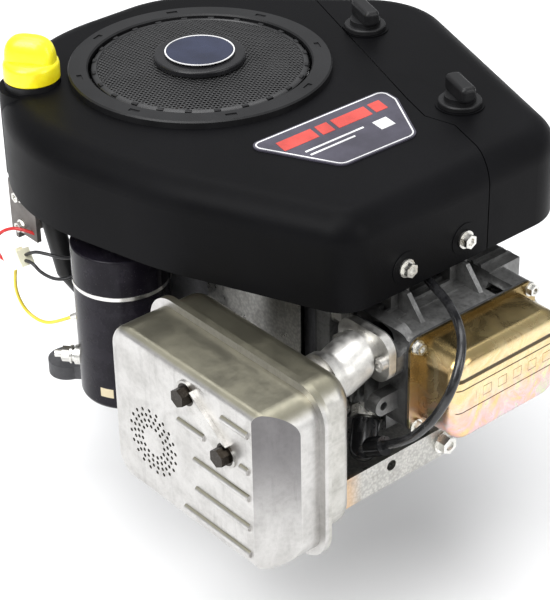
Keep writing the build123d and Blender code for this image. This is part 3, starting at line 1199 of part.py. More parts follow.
def make_drain_plug():
    """Square-socket drain plug in the sump wall."""
    plug = rod(7, (-CASE_R + 7, 0, 22), (-CASE_R - 1, 0, 22)) + hex_bar(17, (-CASE_R - 0.5, 0, 22), (-CASE_R - 8, 0, 22))
    return plug - block(-CASE_R - 9, -CASE_R - 3, -4, 4, 18, 26)


# ---------------------------------------------------------------- all nodes
def group(*pieces):
    """Several separate pieces in one node."""
    return Compound(children=[solid for piece in pieces for solid in piece.solids()])


def build_nodes():
    """Every sub-part by name."""
    shell = shroud_shell()
    nodes = {
        "sump": make_sump(),
        "gaskets_and_seals": group(make_sump_gasket(), make_head_gasket(), make_rocker_cover_gasket(),
                                   make_exhaust_gasket(), make_oil_seals()),
        "case_fittings": group(make_sump_bolts(), make_head_bolts(), make_drain_plug(), make_breather_cover()),
        "cylinder_block": make_cylinder_block(),
        "crankshaft": group(make_crankshaft(), make_timing_gear()),
        "camshaft": group(make_camshaft(), make_camshaft_gear()),
        "piston": group(make_piston(), make_piston_rings(), make_wrist_pin()),
        "connecting_rod": make_connecting_rod(),
        "flywheel": group(make_flywheel(), make_ring_gear(), make_flywheel_nut()),
        "cooling_fan": make_cooling_fan(),
        "rotating_screen": make_rotating_screen(),
        "screen_hub": make_screen_hub(),
        "stator": make_stator(),
        "ignition_coil": make_ignition_coil(),
        "cylinder_head": make_cylinder_head(),
        "intake_valve": make_valve(INTAKE_Z, INTAKE_VALVE_R),
        "exhaust_valve": make_valve(EXHAUST_Z, EXHAUST_VALVE_R),
        "valve_springs": make_valve_springs(),
        "intake_rocker": make_rocker(INTAKE_Z),
        "exhaust_rocker": make_rocker(EXHAUST_Z),
        "rocker_shaft": make_rocker_shaft(),
        "intake_pushrod": make_pushrod(INTAKE_Z),
        "exhaust_pushrod": make_pushrod(EXHAUST_Z),
        "rocker_cover": make_rocker_cover(),
        "spark_plug": make_spark_plug(),
        "spark_plug_boot": make_spark_plug_boot(),
        "spark_plug_lead": make_spark_plug_lead(),
        "muffler_front": make_muffler_front(),
        "muffler_back": make_muffler_back(),
        "exhaust_fasteners": group(make_lock_plate(), make_muffler_bolts(), make_exhaust_bolts()),
        "exhaust_pipe": make_exhaust_pipe(),
        "muffler_strap": group(make_muffler_strap(), make_cylinder_baffle()),
        "flanged_screws": group(make_shroud_screws(), make_rocker_cover_screws(), make_strap_bolt(),
                                make_regulator_screws()),
        "starter_housing": group(make_starter_housing(), make_starter_end_cap(), make_starter_ring(),
                                 make_starter_drive_end(), make_starter_magnets()),
        "starter_armature": make_starter_armature(),
        "starter_pinion": make_starter_pinion(),
        "terminals_and_clips": group(make_starter_terminal(), make_starter_terminal_base(), make_starter_tab(),
                                     make_wire_sleeve(), make_harness_clip()),
        "blower_housing": make_blower_housing(shell),
        "air_cleaner_cover": make_air_cleaner_cover(shell),
        "guard_ring": make_guard_ring(),
        "badge_plate": make_badge_plate(),
        "cover_knob_left": make_cover_knob(*KNOBS[0]),
        "cover_knob_right": make_cover_knob(*KNOBS[1]),
        "oil_fill_tube": group(make_oil_fill_tube(), make_filler_grommet()),
        "dipstick": make_dipstick(),
        "voltage_regulator": make_voltage_regulator(),
        "harness_connector": make_harness_connector(),
        "carburettor": group(make_carburettor(), make_float_bowl(), make_intake_manifold(), make_manifold_screws()),
        "throttle_shaft": make_butterfly(THROTTLE_X, -90, ARM_REACH),
        "choke_shaft": make_butterfly(CHOKE_X, 90, CHOKE_REACH),
        "governor_lever": make_governor_lever(),
        "governor_link": make_governor_link(),
        "control_bracket": group(make_control_bracket(), make_governor_bracket()),
        "control_lever": make_control_lever(),
        "air_cleaner_base": group(make_air_cleaner_base(), make_intake_elbow()),
        "air_filter": make_air_filter(),
    }
    nodes.update(make_harness_wires())
    return nodes


for node_name, node_shape in build_nodes().items():
    export_step(node_shape, f"parts/{node_name}.step")
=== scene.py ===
from math import copysign, cos, hypot, pi, radians, sin, sqrt, tan

import bmesh
import bpy
from mathutils import Matrix, Vector


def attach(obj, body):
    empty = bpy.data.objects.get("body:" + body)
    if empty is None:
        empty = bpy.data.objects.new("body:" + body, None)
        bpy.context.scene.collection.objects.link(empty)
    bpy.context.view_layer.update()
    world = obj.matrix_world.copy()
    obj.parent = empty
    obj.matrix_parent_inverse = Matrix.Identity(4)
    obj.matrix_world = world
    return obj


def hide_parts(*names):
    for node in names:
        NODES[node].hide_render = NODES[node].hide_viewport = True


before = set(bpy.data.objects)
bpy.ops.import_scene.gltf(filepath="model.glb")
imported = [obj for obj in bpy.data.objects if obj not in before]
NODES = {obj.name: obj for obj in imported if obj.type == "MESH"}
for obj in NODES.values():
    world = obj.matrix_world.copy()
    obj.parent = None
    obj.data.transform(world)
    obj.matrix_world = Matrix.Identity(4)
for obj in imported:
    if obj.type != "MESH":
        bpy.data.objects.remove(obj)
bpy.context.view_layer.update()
MM = 0.001
SHARP_ANGLE = radians(35)


# ---------------------------------------------------------------- camera, light and floor
CAMERA_PLACE = (1.140, -0.889, 0.991)
CAMERA_AZIMUTH = radians(49.85)
CAMERA_RISE = radians(32.4)
CAMERA_ROLL = radians(-1.15)
CAMERA_LENS = 120.4
CAMERA_SENSOR = 36
FLOOR_Z = -0.0805                         # just under the end of the shaft
FLOOR_REACH = 12
SUN_WAY = (-0.12, 0.30, -1)


def make_camera():
    """Long lens from the muffler and rocker-cover corner, looking down on the housing."""
    back = Vector((sin(CAMERA_AZIMUTH) * cos(CAMERA_RISE), -cos(CAMERA_AZIMUTH) * cos(CAMERA_RISE),
                   sin(CAMERA_RISE)))
    level = Vector((cos(CAMERA_AZIMUTH), sin(CAMERA_AZIMUTH), 0))
    up = back.cross(level)
    right = level * cos(CAMERA_ROLL) + up * sin(CAMERA_ROLL)
    top = up * cos(CAMERA_ROLL) - level * sin(CAMERA_ROLL)
    data = bpy.data.cameras.new("camera")
    data.lens = CAMERA_LENS
    data.sensor_width = CAMERA_SENSOR
    data.clip_end = 20
    camera = bpy.data.objects.new("camera", data)
    camera.matrix_world = Matrix.Translation(CAMERA_PLACE) @ Matrix((right, top, back)).transposed().to_4x4()
    bpy.context.scene.collection.objects.link(camera)
    bpy.context.scene.camera = camera


def area_light(name, place, aim, size, power):
    """Soft light of the given sides at place, pointing at aim."""
    data = bpy.data.lights.new(name, "AREA")
    data.shape = "RECTANGLE"
    data.size, data.size_y = size
    data.energy = power
    light = bpy.data.objects.new(name, data)
    light.location = place
    light.rotation_mode = "QUATERNION"
    light.rotation_quaternion = (Vector(aim) - Vector(place)).to_track_quat("-Z", "Y")
    bpy.context.scene.collection.objects.link(light)


def sky_strength(tree, height, low, high, at_low, at_high):
    """Strength that goes from at_low to at_high while the view's height goes from low to high."""
    node = tree.nodes.new("ShaderNodeMapRange")
    for socket, number in zip(("From Min", "From Max", "To Min", "To Max"), (low, high, at_low, at_high)):
        node.inputs[socket].default_value = number
    tree.links.new(height, node.inputs["Value"])
    return node.outputs["Result"]


def make_sky():
    """Pale sky that dims toward the horizon and is bright again below it."""
    world = bpy.data.worlds.new("studio")
    world.use_nodes = True
    tree = world.node_tree
    sky = tree.nodes["Background"]
    sky.inputs["Color"].default_value = (0.97, 0.98, 1, 1)
    place = tree.nodes.new("ShaderNodeTexCoord")
    split = tree.nodes.new("ShaderNodeSeparateXYZ")
    brighter = tree.nodes.new("ShaderNodeMath")
    brighter.operation = "MAXIMUM"
    tree.links.new(place.outputs["Generated"], split.inputs["Vector"])
    height = split.outputs["Z"]
    tree.links.new(sky_strength(tree, height, 0.02, 0.75, 0.22, 0.95), brighter.inputs[0])
    tree.links.new(sky_strength(tree, height, -0.004, 0.0, 0.95, 0.0), brighter.inputs[1])
    tree.links.new(brighter.outputs["Value"], sky.inputs["Strength"])
    bpy.context.scene.world = world


def make_sun():
    """Broad soft sun, high over the muffler's side."""
    data = bpy.data.lights.new("sun", "SUN")
    data.energy = 1.9
    data.angle = radians(50)
    sun = bpy.data.objects.new("sun", data)
    sun.rotation_mode = "QUATERNION"
    sun.rotation_quaternion = Vector(SUN_WAY).to_track_quat("-Z", "Y")
    bpy.context.scene.collection.objects.link(sun)


def make_floor():
    """Wide floor under the engine."""
    mesh = bpy.data.meshes.new("floor")
    corners = [(-FLOOR_REACH, -FLOOR_REACH, FLOOR_Z), (FLOOR_REACH, -FLOOR_REACH, FLOOR_Z),
               (FLOOR_REACH, FLOOR_REACH, FLOOR_Z), (-FLOOR_REACH, FLOOR_REACH, FLOOR_Z)]
    mesh.from_pydata(corners, [], [(0, 1, 2, 3)])
    floor = bpy.data.objects.new("floor", mesh)
    bpy.context.scene.collection.objects.link(floor)


bpy.context.scene.view_settings.view_transform = "Standard"
make_camera()
make_sky()
make_sun()
area_light("key", (0.2, -1.6, 1.5), (0.05, -0.05, 0.2), (1.3, 1.0), 26)
area_light("overhead", (-0.5, 0.5, 2.0), (0.05, 0, 0.25), (1.6, 0.9), 12)
area_light("front", (1.9, 0.5, 0.9), (0.2, 0, 0.15), (0.9, 1.1), 10)
make_floor()


# ---------------------------------------------------------------- cords
WIRE = 2.8 * MM
LEAD = 7.0 * MM
LEAD_ROUTE = [(170, 20, 229), (198, 19, 227), (226, 12, 218), (258, 3, 212), (292, -9, 213),
              (322, -28, 214), (338, -43, 207), (343, -56, 188), (337, -64, 166), (323, -66, 145),
              (304, -63, 124), (284, -64, 110)]
RED_ROUTE = [(-66, -150, 148), (-77, -151.5, 141.5), (-89, -150.5, 146), (-91, -148, 158),
             (-82, -144, 167), (-70, -138, 171), (-60, -129.5, 166)]
YELLOW_ROUTE = [(-61, -150, 146), (-66, -150, 130), (-68, -148, 112), (-62, -144, 96), (-44, -140, 92),
                (-26, -136, 101), (-10, -132, 112)]
UPPER_ROUTE = [(-50, -149, 158), (-37, -149, 168), (-24, -145, 170), (-12, -136, 167), (-7, -125, 166),
               (-7, -113, 166)]
LOWER_ROUTE = [(-49, -151, 155), (-37, -151, 160), (-27, -149, 152), (-15, -141, 147), (-7, -128, 150),
               (-7, -113, 154)]


def make_cord(node, route, diameter, length):
    """Smooth cord along the route's points, in place of its plain tube."""
    curve = bpy.data.curves.new(node + "_line", "CURVE")
    curve.dimensions = "3D"
    curve.resolution_u = 16
    curve.bevel_depth = diameter / 2 / MM
    curve.bevel_resolution = 6
    spline = curve.splines.new("NURBS")
    spline.points.add(len(route) - 1)
    for point, place in zip(spline.points, route):
        point.co = (place[0] * MM, place[1] * MM, place[2] * MM, 1)
        point.radius = MM            # the curve's box grows by this much, so it is kept small
    spline.order_u = 3
    spline.use_endpoint_u = True
    cord = bpy.data.objects.new(node + "_cord", curve)
    bpy.context.scene.collection.objects.link(cord)
    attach(cord, "engine")
    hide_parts(node)
    return cord


CORDS = {
    "spark_plug_lead": (LEAD_ROUTE, LEAD, 0.310),
    "red_wire": (RED_ROUTE, WIRE, 0.075),
    "yellow_wire": (YELLOW_ROUTE, WIRE, 0.109),
    "black_wire_upper": (UPPER_ROUTE, WIRE, 0.069),
    "black_wire_lower": (LOWER_ROUTE, WIRE, 0.069),
}
cords = {node: make_cord(node, *shape) for node, shape in CORDS.items()}


# ---------------------------------------------------------------- surface building blocks
class Surface:
    """One procedural material. Patterns are laid out in the frame's metres."""

    def __init__(self, name, metallic=0.0, specular=0.5, coat=0.0, coat_roughness=0.1):
        self.material = bpy.data.materials.new(name)
        self.material.use_nodes = True
        self.tree = self.material.node_tree
        self.shader = self.tree.nodes["Principled BSDF"]
        self.shader.inputs["Metallic"].default_value = metallic
        self.shader.inputs["Specular IOR Level"].default_value = specular
        self.shader.inputs["Coat Weight"].default_value = coat
        self.shader.inputs["Coat Roughness"].default_value = coat_roughness
        place = self.tree.nodes.new("ShaderNodeTexCoord")
        self.place = place.outputs["Object"]
        self.normal = None

    def link(self, output, target):
        self.tree.links.new(output, target)

    def stretched(self, stretch):
        """The place, scaled along each axis, for brushed or drawn patterns."""
        mapping = self.tree.nodes.new("ShaderNodeMapping")
        mapping.inputs["Scale"].default_value = stretch
        self.link(self.place, mapping.inputs["Vector"])
        return mapping.outputs["Vector"]

    def noise(self, scale, detail, rough, stretch=None, distortion=0.0):
        node = self.tree.nodes.new("ShaderNodeTexNoise")
        node.inputs["Scale"].default_value = scale
        node.inputs["Detail"].default_value = detail
        node.inputs["Roughness"].default_value = rough
        node.inputs["Distortion"].default_value = distortion
        self.link(self.stretched(stretch) if stretch else self.place, node.inputs["Vector"])
        return node.outputs["Fac"]

    def cells(self, scale):
        node = self.tree.nodes.new("ShaderNodeTexVoronoi")
        node.inputs["Scale"].default_value = scale
        self.link(self.place, node.inputs["Vector"])
        return node.outputs["Distance"]

    def axis(self, which):
        """The place's x, y or z."""
        node = self.tree.nodes.new("ShaderNodeSeparateXYZ")
        self.link(self.place, node.inputs["Vector"])
        return node.outputs["XYZ".index(which)]

    def facing(self, which):
        """How far the surface faces along x, y or z."""
        side = self.tree.nodes.new("ShaderNodeNewGeometry")
        node = self.tree.nodes.new("ShaderNodeSeparateXYZ")
        self.link(side.outputs["Normal"], node.inputs["Vector"])
        return node.outputs["XYZ".index(which)]

    def remap(self, value, low, high, to_low=0.0, to_high=1.0):
        node = self.tree.nodes.new("ShaderNodeMapRange")
        node.interpolation_type = "SMOOTHSTEP"
        sockets = ("From Min", "From Max", "To Min", "To Max")
        for socket, number in zip(sockets, (low, high, to_low, to_high)):
            node.inputs[socket].default_value = number
        self.link(value, node.inputs["Value"])
        return node.outputs["Result"]

    def maths(self, operation, first, second=0):
        node = self.tree.nodes.new("ShaderNodeMath")
        node.operation = operation
        for socket, value in zip(node.inputs, (first, second)):
            if isinstance(value, (int, float)):
                socket.default_value = value
            else:
                self.link(value, socket)
        return node.outputs["Value"]

    def product(self, first, *others):
        """All the values multiplied together."""
        for other in others:
            first = self.maths("MULTIPLY", first, other)
        return first

    def away(self, which, middle):
        """How far the place is from middle along x, y or z."""
        return self.maths("ABSOLUTE", self.maths("SUBTRACT", self.axis(which), middle))

    def ramp(self, value, stops):
        """Colour ramp; stops are (position, (r, g, b))."""
        node = self.tree.nodes.new("ShaderNodeValToRGB")
        band = node.color_ramp
        while len(band.elements) < len(stops):
            band.elements.new(0.5)
        for element, (position, tone) in zip(band.elements, stops):
            element.position = position
            element.color = (*tone, 1)
        self.link(value, node.inputs["Fac"])
        return node.outputs["Color"]

    def mix(self, share, first, second):
        """Colour between first and second, each a colour or a socket."""
        node = self.tree.nodes.new("ShaderNodeMix")
        node.data_type = "RGBA"
        if isinstance(share, (int, float)):
            node.inputs[0].default_value = share
        else:
            self.link(share, node.inputs[0])
        for socket, value in ((node.inputs[6], first), (node.inputs[7], second)):
            if isinstance(value, tuple):
                socket.default_value = (*value, 1)
            else:
                self.link(value, socket)
        return node.outputs[2]

    def bump(self, height, depth, strength=1.0):
        """Adds small relief; depth is in metres."""
        node = self.tree.nodes.new("ShaderNodeBump")
        node.inputs["Strength"].default_value = strength
        node.inputs["Distance"].default_value = depth
        self.link(height, node.inputs["Height"])
        if self.normal:
            self.link(self.normal, node.inputs["Normal"])
        self.normal = node.outputs["Normal"]

    def done(self, colour, rough):
        """Joins colour and roughness sockets and hands back the material."""
        self.link(colour, self.shader.inputs["Base Color"])
        self.link(rough, self.shader.inputs["Roughness"])
        if self.normal:
            self.link(self.normal, self.shader.inputs["Normal"])
        return self.material


def moulded_plastic(name, tone, rough, grain=1500, depth=0.00006, scuff=0.35, coat=0.0, specular=0.5):
    """Moulded plastic with a fine spark-eroded texture and faint handling marks."""
    s = Surface(name, specular=specular, coat=coat)
    cloud = s.noise(22, 4, 0.6)
    fine = s.noise(grain, 2, 0.6)
    marks = s.remap(s.noise(55, 6, 0.7, stretch=(1, 0.3, 1)), 0.56, 0.72)
    lighter = tuple(min(1, c * 1.4 + 0.002) for c in tone)
    darker = tuple(c * 0.8 for c in tone)
    colour = s.mix(s.remap(cloud, 0.3, 0.7), darker, lighter)
    speck = s.remap(fine, 0.45, 0.75, 0, scuff)
    colour = s.mix(speck, colour, tuple(min(1, c * 2 + 0.004) for c in tone))
    s.bump(fine, depth)
    rough_value = s.maths("ADD", s.remap(cloud, 0.3, 0.7, *rough), s.maths("MULTIPLY", marks, 0.06))
    return s.done(colour, rough_value)


def plated_steel(name, tone, stain, rough=(0.22, 0.42), grain=900, stretch=None):
    """Zinc, nickel or plain steel with cloudy plating and fine machining marks."""
    s = Surface(name, metallic=1.0)
    cloud = s.noise(60, 5, 0.65)
    fine = s.noise(grain, 3, 0.6, stretch=stretch)
    colour = s.mix(s.remap(cloud, 0.38, 0.68), tone, stain)
    colour = s.mix(s.remap(fine, 0.5, 0.8, 0, 0.35), colour, tuple(c * 0.55 for c in tone))
    s.bump(fine, 0.00003)
    return s.done(colour, s.remap(s.noise(144, 4, 0.6), 0.3, 0.7, *rough))


def cast_metal(name, tone, stain, rough, metallic=0.85, depth=0.00035):
    """Die cast surface: sandy relief, cloudy colour and dark specks in its hollows."""
    s = Surface(name, metallic=metallic)
    cloud = s.noise(30, 5, 0.6)
    sand = s.noise(420, 5, 0.7)
    pits = s.cells(252)
    colour = s.mix(s.remap(cloud, 0.35, 0.68), tone, stain)
    colour = s.mix(s.remap(sand, 0.56, 0.34, 0, 0.5), colour, tuple(c * 0.4 for c in tone))
    s.bump(pits, depth * 0.6, 0.5)
    s.bump(sand, depth)
    return s.done(colour, s.remap(sand, 0.3, 0.7, *rough))


def rubber(name, tone, rough=(0.3, 0.45), depth=0.00004):
    """Smooth rubber or wire insulation with faint dust."""
    s = Surface(name)
    cloud = s.noise(90, 5, 0.65)
    fine = s.noise(2200, 2, 0.5)
    dusty = tuple(min(1, c * 1.25 + 0.02) for c in tone)
    colour = s.mix(s.remap(cloud, 0.42, 0.75, 0, 0.8), tone, dusty)
    s.bump(fine, depth)
    return s.done(colour, s.remap(cloud, 0.3, 0.7, *rough))


def dress(node, material):
    """Gives a CAD node its finished material and soft shading over its curved faces."""
    mesh = NODES[node].data
    mesh.materials.clear()
    mesh.materials.append(material)
    mesh.set_sharp_from_angle(angle=SHARP_ANGLE)


# ---------------------------------------------------------------- finishes with their own character
def housing_plastic(name):
    """Satin black housing: fine leathery grain, cloudy sheen and faint rubbed streaks."""
    s = Surface(name, specular=0.05)
    cloud = s.noise(9, 4, 0.55)
    grain = s.cells(900)
    fine = s.noise(1900, 3, 0.6)
    colour = s.mix(s.remap(cloud, 0.3, 0.7), (0.0028, 0.0028, 0.0032), (0.0046, 0.0046, 0.0053))
    colour = s.mix(s.remap(fine, 0.5, 0.8, 0, 0.5), colour, (0.010, 0.010, 0.011))
    s.bump(grain, 0.00010, 0.55)
    s.bump(fine, 0.00005, 0.6)
    streak = s.remap(s.noise(26, 6, 0.7, stretch=(0.25, 1, 1)), 0.52, 0.72, 0, 0.05)
    return s.done(colour, s.maths("ADD", s.remap(cloud, 0.3, 0.7, 0.40, 0.47), streak))


CORNER_SHADE_HEIGHTS = (0.080, 0.175)            # where the painted shade on the muffler's corner starts and stops


def muffler_sheet(name, tone, stain, drawn=(1, 1, 0.12)):
    """Aluminised sheet: patchy crystals, smears and drawn marks, olive on top and painted shade darkening one
    corner.
    """
    s = Surface(name, metallic=0.92)
    patches = s.noise(34, 6, 0.66, distortion=0.6)
    crystals = s.cells(240)
    streaks = s.noise(150, 5, 0.65, stretch=drawn)
    fine = s.noise(1300, 3, 0.6)
    colour = s.mix(s.remap(patches, 0.34, 0.66, 0, 0.75), tone, stain)
    colour = s.mix(s.remap(crystals, 0.2, 0.75, 0, 0.16), colour, tuple(min(1, c * 1.3) for c in tone))
    colour = s.mix(s.remap(streaks, 0.5, 0.74, 0, 0.30), colour, tuple(c * 0.6 for c in stain))
    colour = s.mix(s.remap(fine, 0.52, 0.8, 0, 0.35), colour, tuple(c * 0.45 for c in tone))
    above = s.remap(s.facing("Z"), 0.45, 0.85)
    colour = s.mix(s.maths("MULTIPLY", above, 0.85), colour, (0.24, 0.225, 0.155))
    # Painted shade: the slope facing +x and -y is darkened, deeper towards the top of the muffler.
    corner = s.maths("MULTIPLY", s.remap(s.facing("X"), 0.12, 0.6), s.remap(s.facing("Y"), -0.12, -0.6))
    painted_corner_shade = s.maths("MULTIPLY", corner, s.remap(s.axis("Z"), *CORNER_SHADE_HEIGHTS, 0.05, 0.8))
    colour = s.mix(painted_corner_shade, colour, (0.075, 0.070, 0.076))
    s.bump(s.noise(70, 3, 0.5), 0.0005, 0.5)
    s.bump(fine, 0.00004)
    return s.done(colour, s.remap(patches, 0.3, 0.7, 0.28, 0.42))


GOLD_TONES = [(0.30, (0.60, 0.42, 0.15)), (0.45, (0.74, 0.56, 0.26)), (0.56, (0.80, 0.66, 0.36)),
              (0.68, (0.66, 0.50, 0.22))]
TINT_TONES = [(0.34, (0.78, 0.52, 0.24)), (0.45, (0.80, 0.42, 0.42)), (0.54, (0.62, 0.46, 0.62)),
              (0.64, (0.50, 0.66, 0.44)), (0.74, (0.80, 0.66, 0.34))]
COVER_FACE_X = 0.3285                     # where the rocker cover's flat face starts
COVER_LINES = ((0.1762, 0.0021), (0.1685, 0.0006), (0.1490, 0.0005))      # height and half width of the groove lines, painted dark as shade
PADS_PER_METRE = 64
PAD_ROW_Y, PAD_ROW_Z = 0.0200, 0.1588


def gold_plating(name):
    """Yellow zinc plating with pink and green tints low on the face, dark lines of painted shade in its
    grooves, a row of plain pads with painted shade round their rims, and painted shade along its top and
    towards the head.
    """
    s = Surface(name, metallic=0.96)
    swirl = s.noise(24, 5, 0.6, distortion=1.4)
    fine = s.noise(900, 3, 0.6, stretch=(1, 0.15, 1))
    gold = s.ramp(swirl, GOLD_TONES)
    tint = s.ramp(s.noise(34, 4, 0.6, distortion=2.0), TINT_TONES)
    low = s.remap(s.axis("Z"), 0.170, 0.128, 0.12, 0.75)
    colour = s.mix(low, gold, tint)
    # Painted shade along the top of the cover.
    colour = s.mix(s.remap(s.axis("Z"), 0.184, 0.194, 0, 0.8), colour, (0.20, 0.155, 0.062))
    # Painted shade on the cover's sides towards the head.
    colour = s.mix(s.remap(s.axis("X"), 0.322, 0.300, 0, 0.75), colour, (0.24, 0.17, 0.07))
    colour = s.mix(s.remap(fine, 0.52, 0.8, 0, 0.3), colour, (0.34, 0.24, 0.10))
    face = s.remap(s.axis("X"), COVER_FACE_X, COVER_FACE_X + MM)
    # The grooves are painted near black as shade, besides their bump.
    for height, half in COVER_LINES:
        line = s.maths("MULTIPLY", s.remap(s.away("Z", height), half, half * 0.55), face)
        colour = s.mix(s.maths("MULTIPLY", line, 0.93), colour, (0.018, 0.012, 0.006))
        s.bump(s.maths("MULTIPLY", line, -1), 0.0012)
    share = s.maths("FRACT", s.maths("MULTIPLY", s.axis("Y"), PADS_PER_METRE))
    across = s.remap(s.maths("ABSOLUTE", s.maths("SUBTRACT", share, 0.5)), 0.30, 0.24)
    along = s.remap(s.away("Z", PAD_ROW_Z), 0.0044, 0.0034)
    ends = s.remap(s.away("Y", PAD_ROW_Y), 0.0400, 0.0385)
    pad = s.product(across, along, ends, face)
    # Painted shade round the rims of the pads.
    rim = s.maths("MULTIPLY", s.remap(pad, 0.05, 0.45), s.remap(pad, 0.95, 0.55))
    colour = s.mix(s.maths("MULTIPLY", rim, 0.75), colour, (0.14, 0.085, 0.03))
    s.bump(pad, 0.0012)
    s.bump(s.noise(60, 3, 0.5), 0.0004, 0.35)
    s.bump(fine, 0.00003)
    return s.done(colour, s.remap(swirl, 0.3, 0.7, 0.20, 0.34))


LOCK_BOLTS = ((0.216, 0.181), (0.258, 0.152))          # (x, z) of the two bolts
LOCK_BOLT_R = 0.0089
BOLT_EDGE = 0.0003


def lock_steel(name):
    """Bright folded lock plate on the muffler's face with black bolts, and zinc bolts at the head."""
    s = Surface(name, metallic=1.0)
    cloud = s.noise(60, 5, 0.65)
    fine = s.noise(900, 3, 0.6)
    colour = s.mix(s.remap(cloud, 0.38, 0.68), (0.58, 0.57, 0.55), (0.42, 0.41, 0.39))
    front = s.remap(s.axis("Y"), -0.150, -0.160)
    for x, z in LOCK_BOLTS:
        dx = s.maths("SUBTRACT", s.axis("X"), x)
        dz = s.maths("SUBTRACT", s.axis("Z"), z)
        away = s.maths("SQRT", s.maths("ADD", s.maths("MULTIPLY", dx, dx), s.maths("MULTIPLY", dz, dz)))
        near = s.maths("MULTIPLY", s.remap(away, LOCK_BOLT_R + BOLT_EDGE, LOCK_BOLT_R - BOLT_EDGE), front)
        colour = s.mix(near, colour, (0.030, 0.025, 0.020))
    colour = s.mix(s.remap(fine, 0.5, 0.8, 0, 0.4), colour, (0.16, 0.15, 0.14))
    s.bump(fine, 0.00003)
    return s.done(colour, s.remap(cloud, 0.3, 0.7, 0.28, 0.44))


STRAP_TINT_X, STRAP_TINT_Y = 0.255, -0.086             # where the strap's heat tint starts


def galvanised(name):
    """Zinc strap with small spangles and a straw heat tint at the muffler end."""
    s = Surface(name, metallic=1.0)
    spangle = s.cells(420)
    cloud = s.noise(80, 5, 0.65)
    colour = s.mix(s.remap(spangle, 0.15, 0.8), (0.50, 0.49, 0.46), (0.36, 0.355, 0.335))
    hot_y = s.remap(s.axis("Y"), STRAP_TINT_Y, STRAP_TINT_Y - 18 * MM, 0, 0.7)
    tint = s.maths("MULTIPLY", hot_y, s.remap(s.axis("X"), STRAP_TINT_X, STRAP_TINT_X + 7 * MM))
    colour = s.mix(tint, colour, (0.60, 0.38, 0.20))
    colour = s.mix(s.remap(cloud, 0.52, 0.7, 0, 0.4), colour, (0.26, 0.25, 0.23))
    s.bump(spangle, 0.00005)
    return s.done(colour, s.remap(cloud, 0.3, 0.7, 0.26, 0.44))


STARTER_RING_Z = 0.1725
LABEL_X, LABEL_Z = 0.062, 0.084


def gloss_paint(name, tone, marked=False):
    """Gloss paint with slight orange peel and dust specks; marked adds a bright ring and a pale label."""
    s = Surface(name, specular=0.10, coat=0.08, coat_roughness=0.10)
    peel = s.noise(420, 2, 0.5)
    cloud = s.noise(40, 5, 0.6)
    dust = s.remap(s.noise(1500, 2, 0.5), 0.68, 0.76)
    colour = s.mix(s.remap(cloud, 0.35, 0.7), tone, tuple(c * 1.7 + 0.004 for c in tone))
    colour = s.mix(s.maths("MULTIPLY", dust, 0.5), colour, (0.22, 0.21, 0.20))
    if marked:
        ring = s.remap(s.away("Z", STARTER_RING_Z), 0.0017, 0.0015)
        colour = s.mix(ring, colour, (0.70, 0.69, 0.67))
        label_side = s.remap(s.away("X", LABEL_X), 0.0052, 0.0048)
        label_height = s.remap(s.away("Z", LABEL_Z), 0.0042, 0.0039)
        label = s.product(label_side, label_height, s.remap(s.facing("Y"), -0.25, -0.35))
        colour = s.mix(label, colour, (0.58, 0.50, 0.34))
        s.link(ring, s.shader.inputs["Metallic"])
    s.bump(peel, 0.00008, 0.5)
    return s.done(colour, s.remap(cloud, 0.3, 0.7, 0.20, 0.30))


def pleated_paper(name):
    """Cream filter paper with close upright pleats, their valleys darkened with painted shade."""
    s = Surface(name)
    wave = s.tree.nodes.new("ShaderNodeTexWave")
    wave.inputs["Scale"].default_value = 110
    wave.inputs["Distortion"].default_value = 0.4
    s.link(s.place, wave.inputs["Vector"])
    folds = wave.outputs["Fac"]
    fibres = s.noise(1600, 4, 0.7)
    # Painted shade: the pleat valleys are coloured darker than the crests.
    colour = s.mix(s.remap(folds, 0.1, 0.8), (0.40, 0.34, 0.22), (0.80, 0.73, 0.56))
    colour = s.mix(s.remap(fibres, 0.45, 0.75, 0, 0.4), colour, (0.88, 0.83, 0.70))
    s.bump(folds, 0.002)
    s.bump(fibres, 0.0001)
    return s.done(colour, s.remap(fibres, 0.3, 0.7, 0.75, 0.9))


HOUSING = housing_plastic("housing_plastic")
RING = moulded_plastic("ring_plastic", (0.006, 0.006, 0.0065), (0.30, 0.38), 2400, 0.00003, specular=0.25)
DARK_PLASTIC = moulded_plastic("dark_plastic", (0.007, 0.007, 0.0075), (0.34, 0.46), specular=0.25)
HUB = moulded_plastic("hub_plastic", (0.007, 0.007, 0.008), (0.26, 0.34), 2600, 0.00002, specular=0.3)
NYLON = moulded_plastic("fan_nylon", (0.03, 0.03, 0.031), (0.42, 0.55), 1200)
BADGE = moulded_plastic("badge_film", (0.045, 0.042, 0.058), (0.32, 0.40), 3000, 0.00002, specular=0.35)
YELLOW = moulded_plastic("yellow_plastic", (0.93, 0.66, 0.008), (0.26, 0.36), 1200, 0.00004, 0.12, coat=0.25)
CREAM = moulded_plastic("cream_nylon", (0.80, 0.72, 0.54), (0.38, 0.5), 1400, 0.00005, 0.2)
SCREEN = moulded_plastic("screen_paint", (0.010, 0.010, 0.0105), (0.30, 0.42), 1800, 0.00003)
ZINC = plated_steel("zinc_plate", (0.78, 0.77, 0.73), (0.60, 0.59, 0.56))
ZINC_DULL = plated_steel("zinc_dull", (0.62, 0.61, 0.58), (0.44, 0.43, 0.41), (0.34, 0.52))
FORGED = plated_steel("forged_steel", (0.46, 0.45, 0.44), (0.34, 0.33, 0.32), (0.28, 0.44), 500)
GROUND = plated_steel("ground_steel", (0.62, 0.61, 0.60), (0.52, 0.51, 0.50), (0.18, 0.30), 1500, (1, 1, 0.1))
SPRING = plated_steel("spring_steel", (0.22, 0.21, 0.20), (0.30, 0.28, 0.25), (0.3, 0.42))
ALLOY = plated_steel("machined_alloy", (0.76, 0.76, 0.76), (0.66, 0.66, 0.66), (0.26, 0.4), 800)
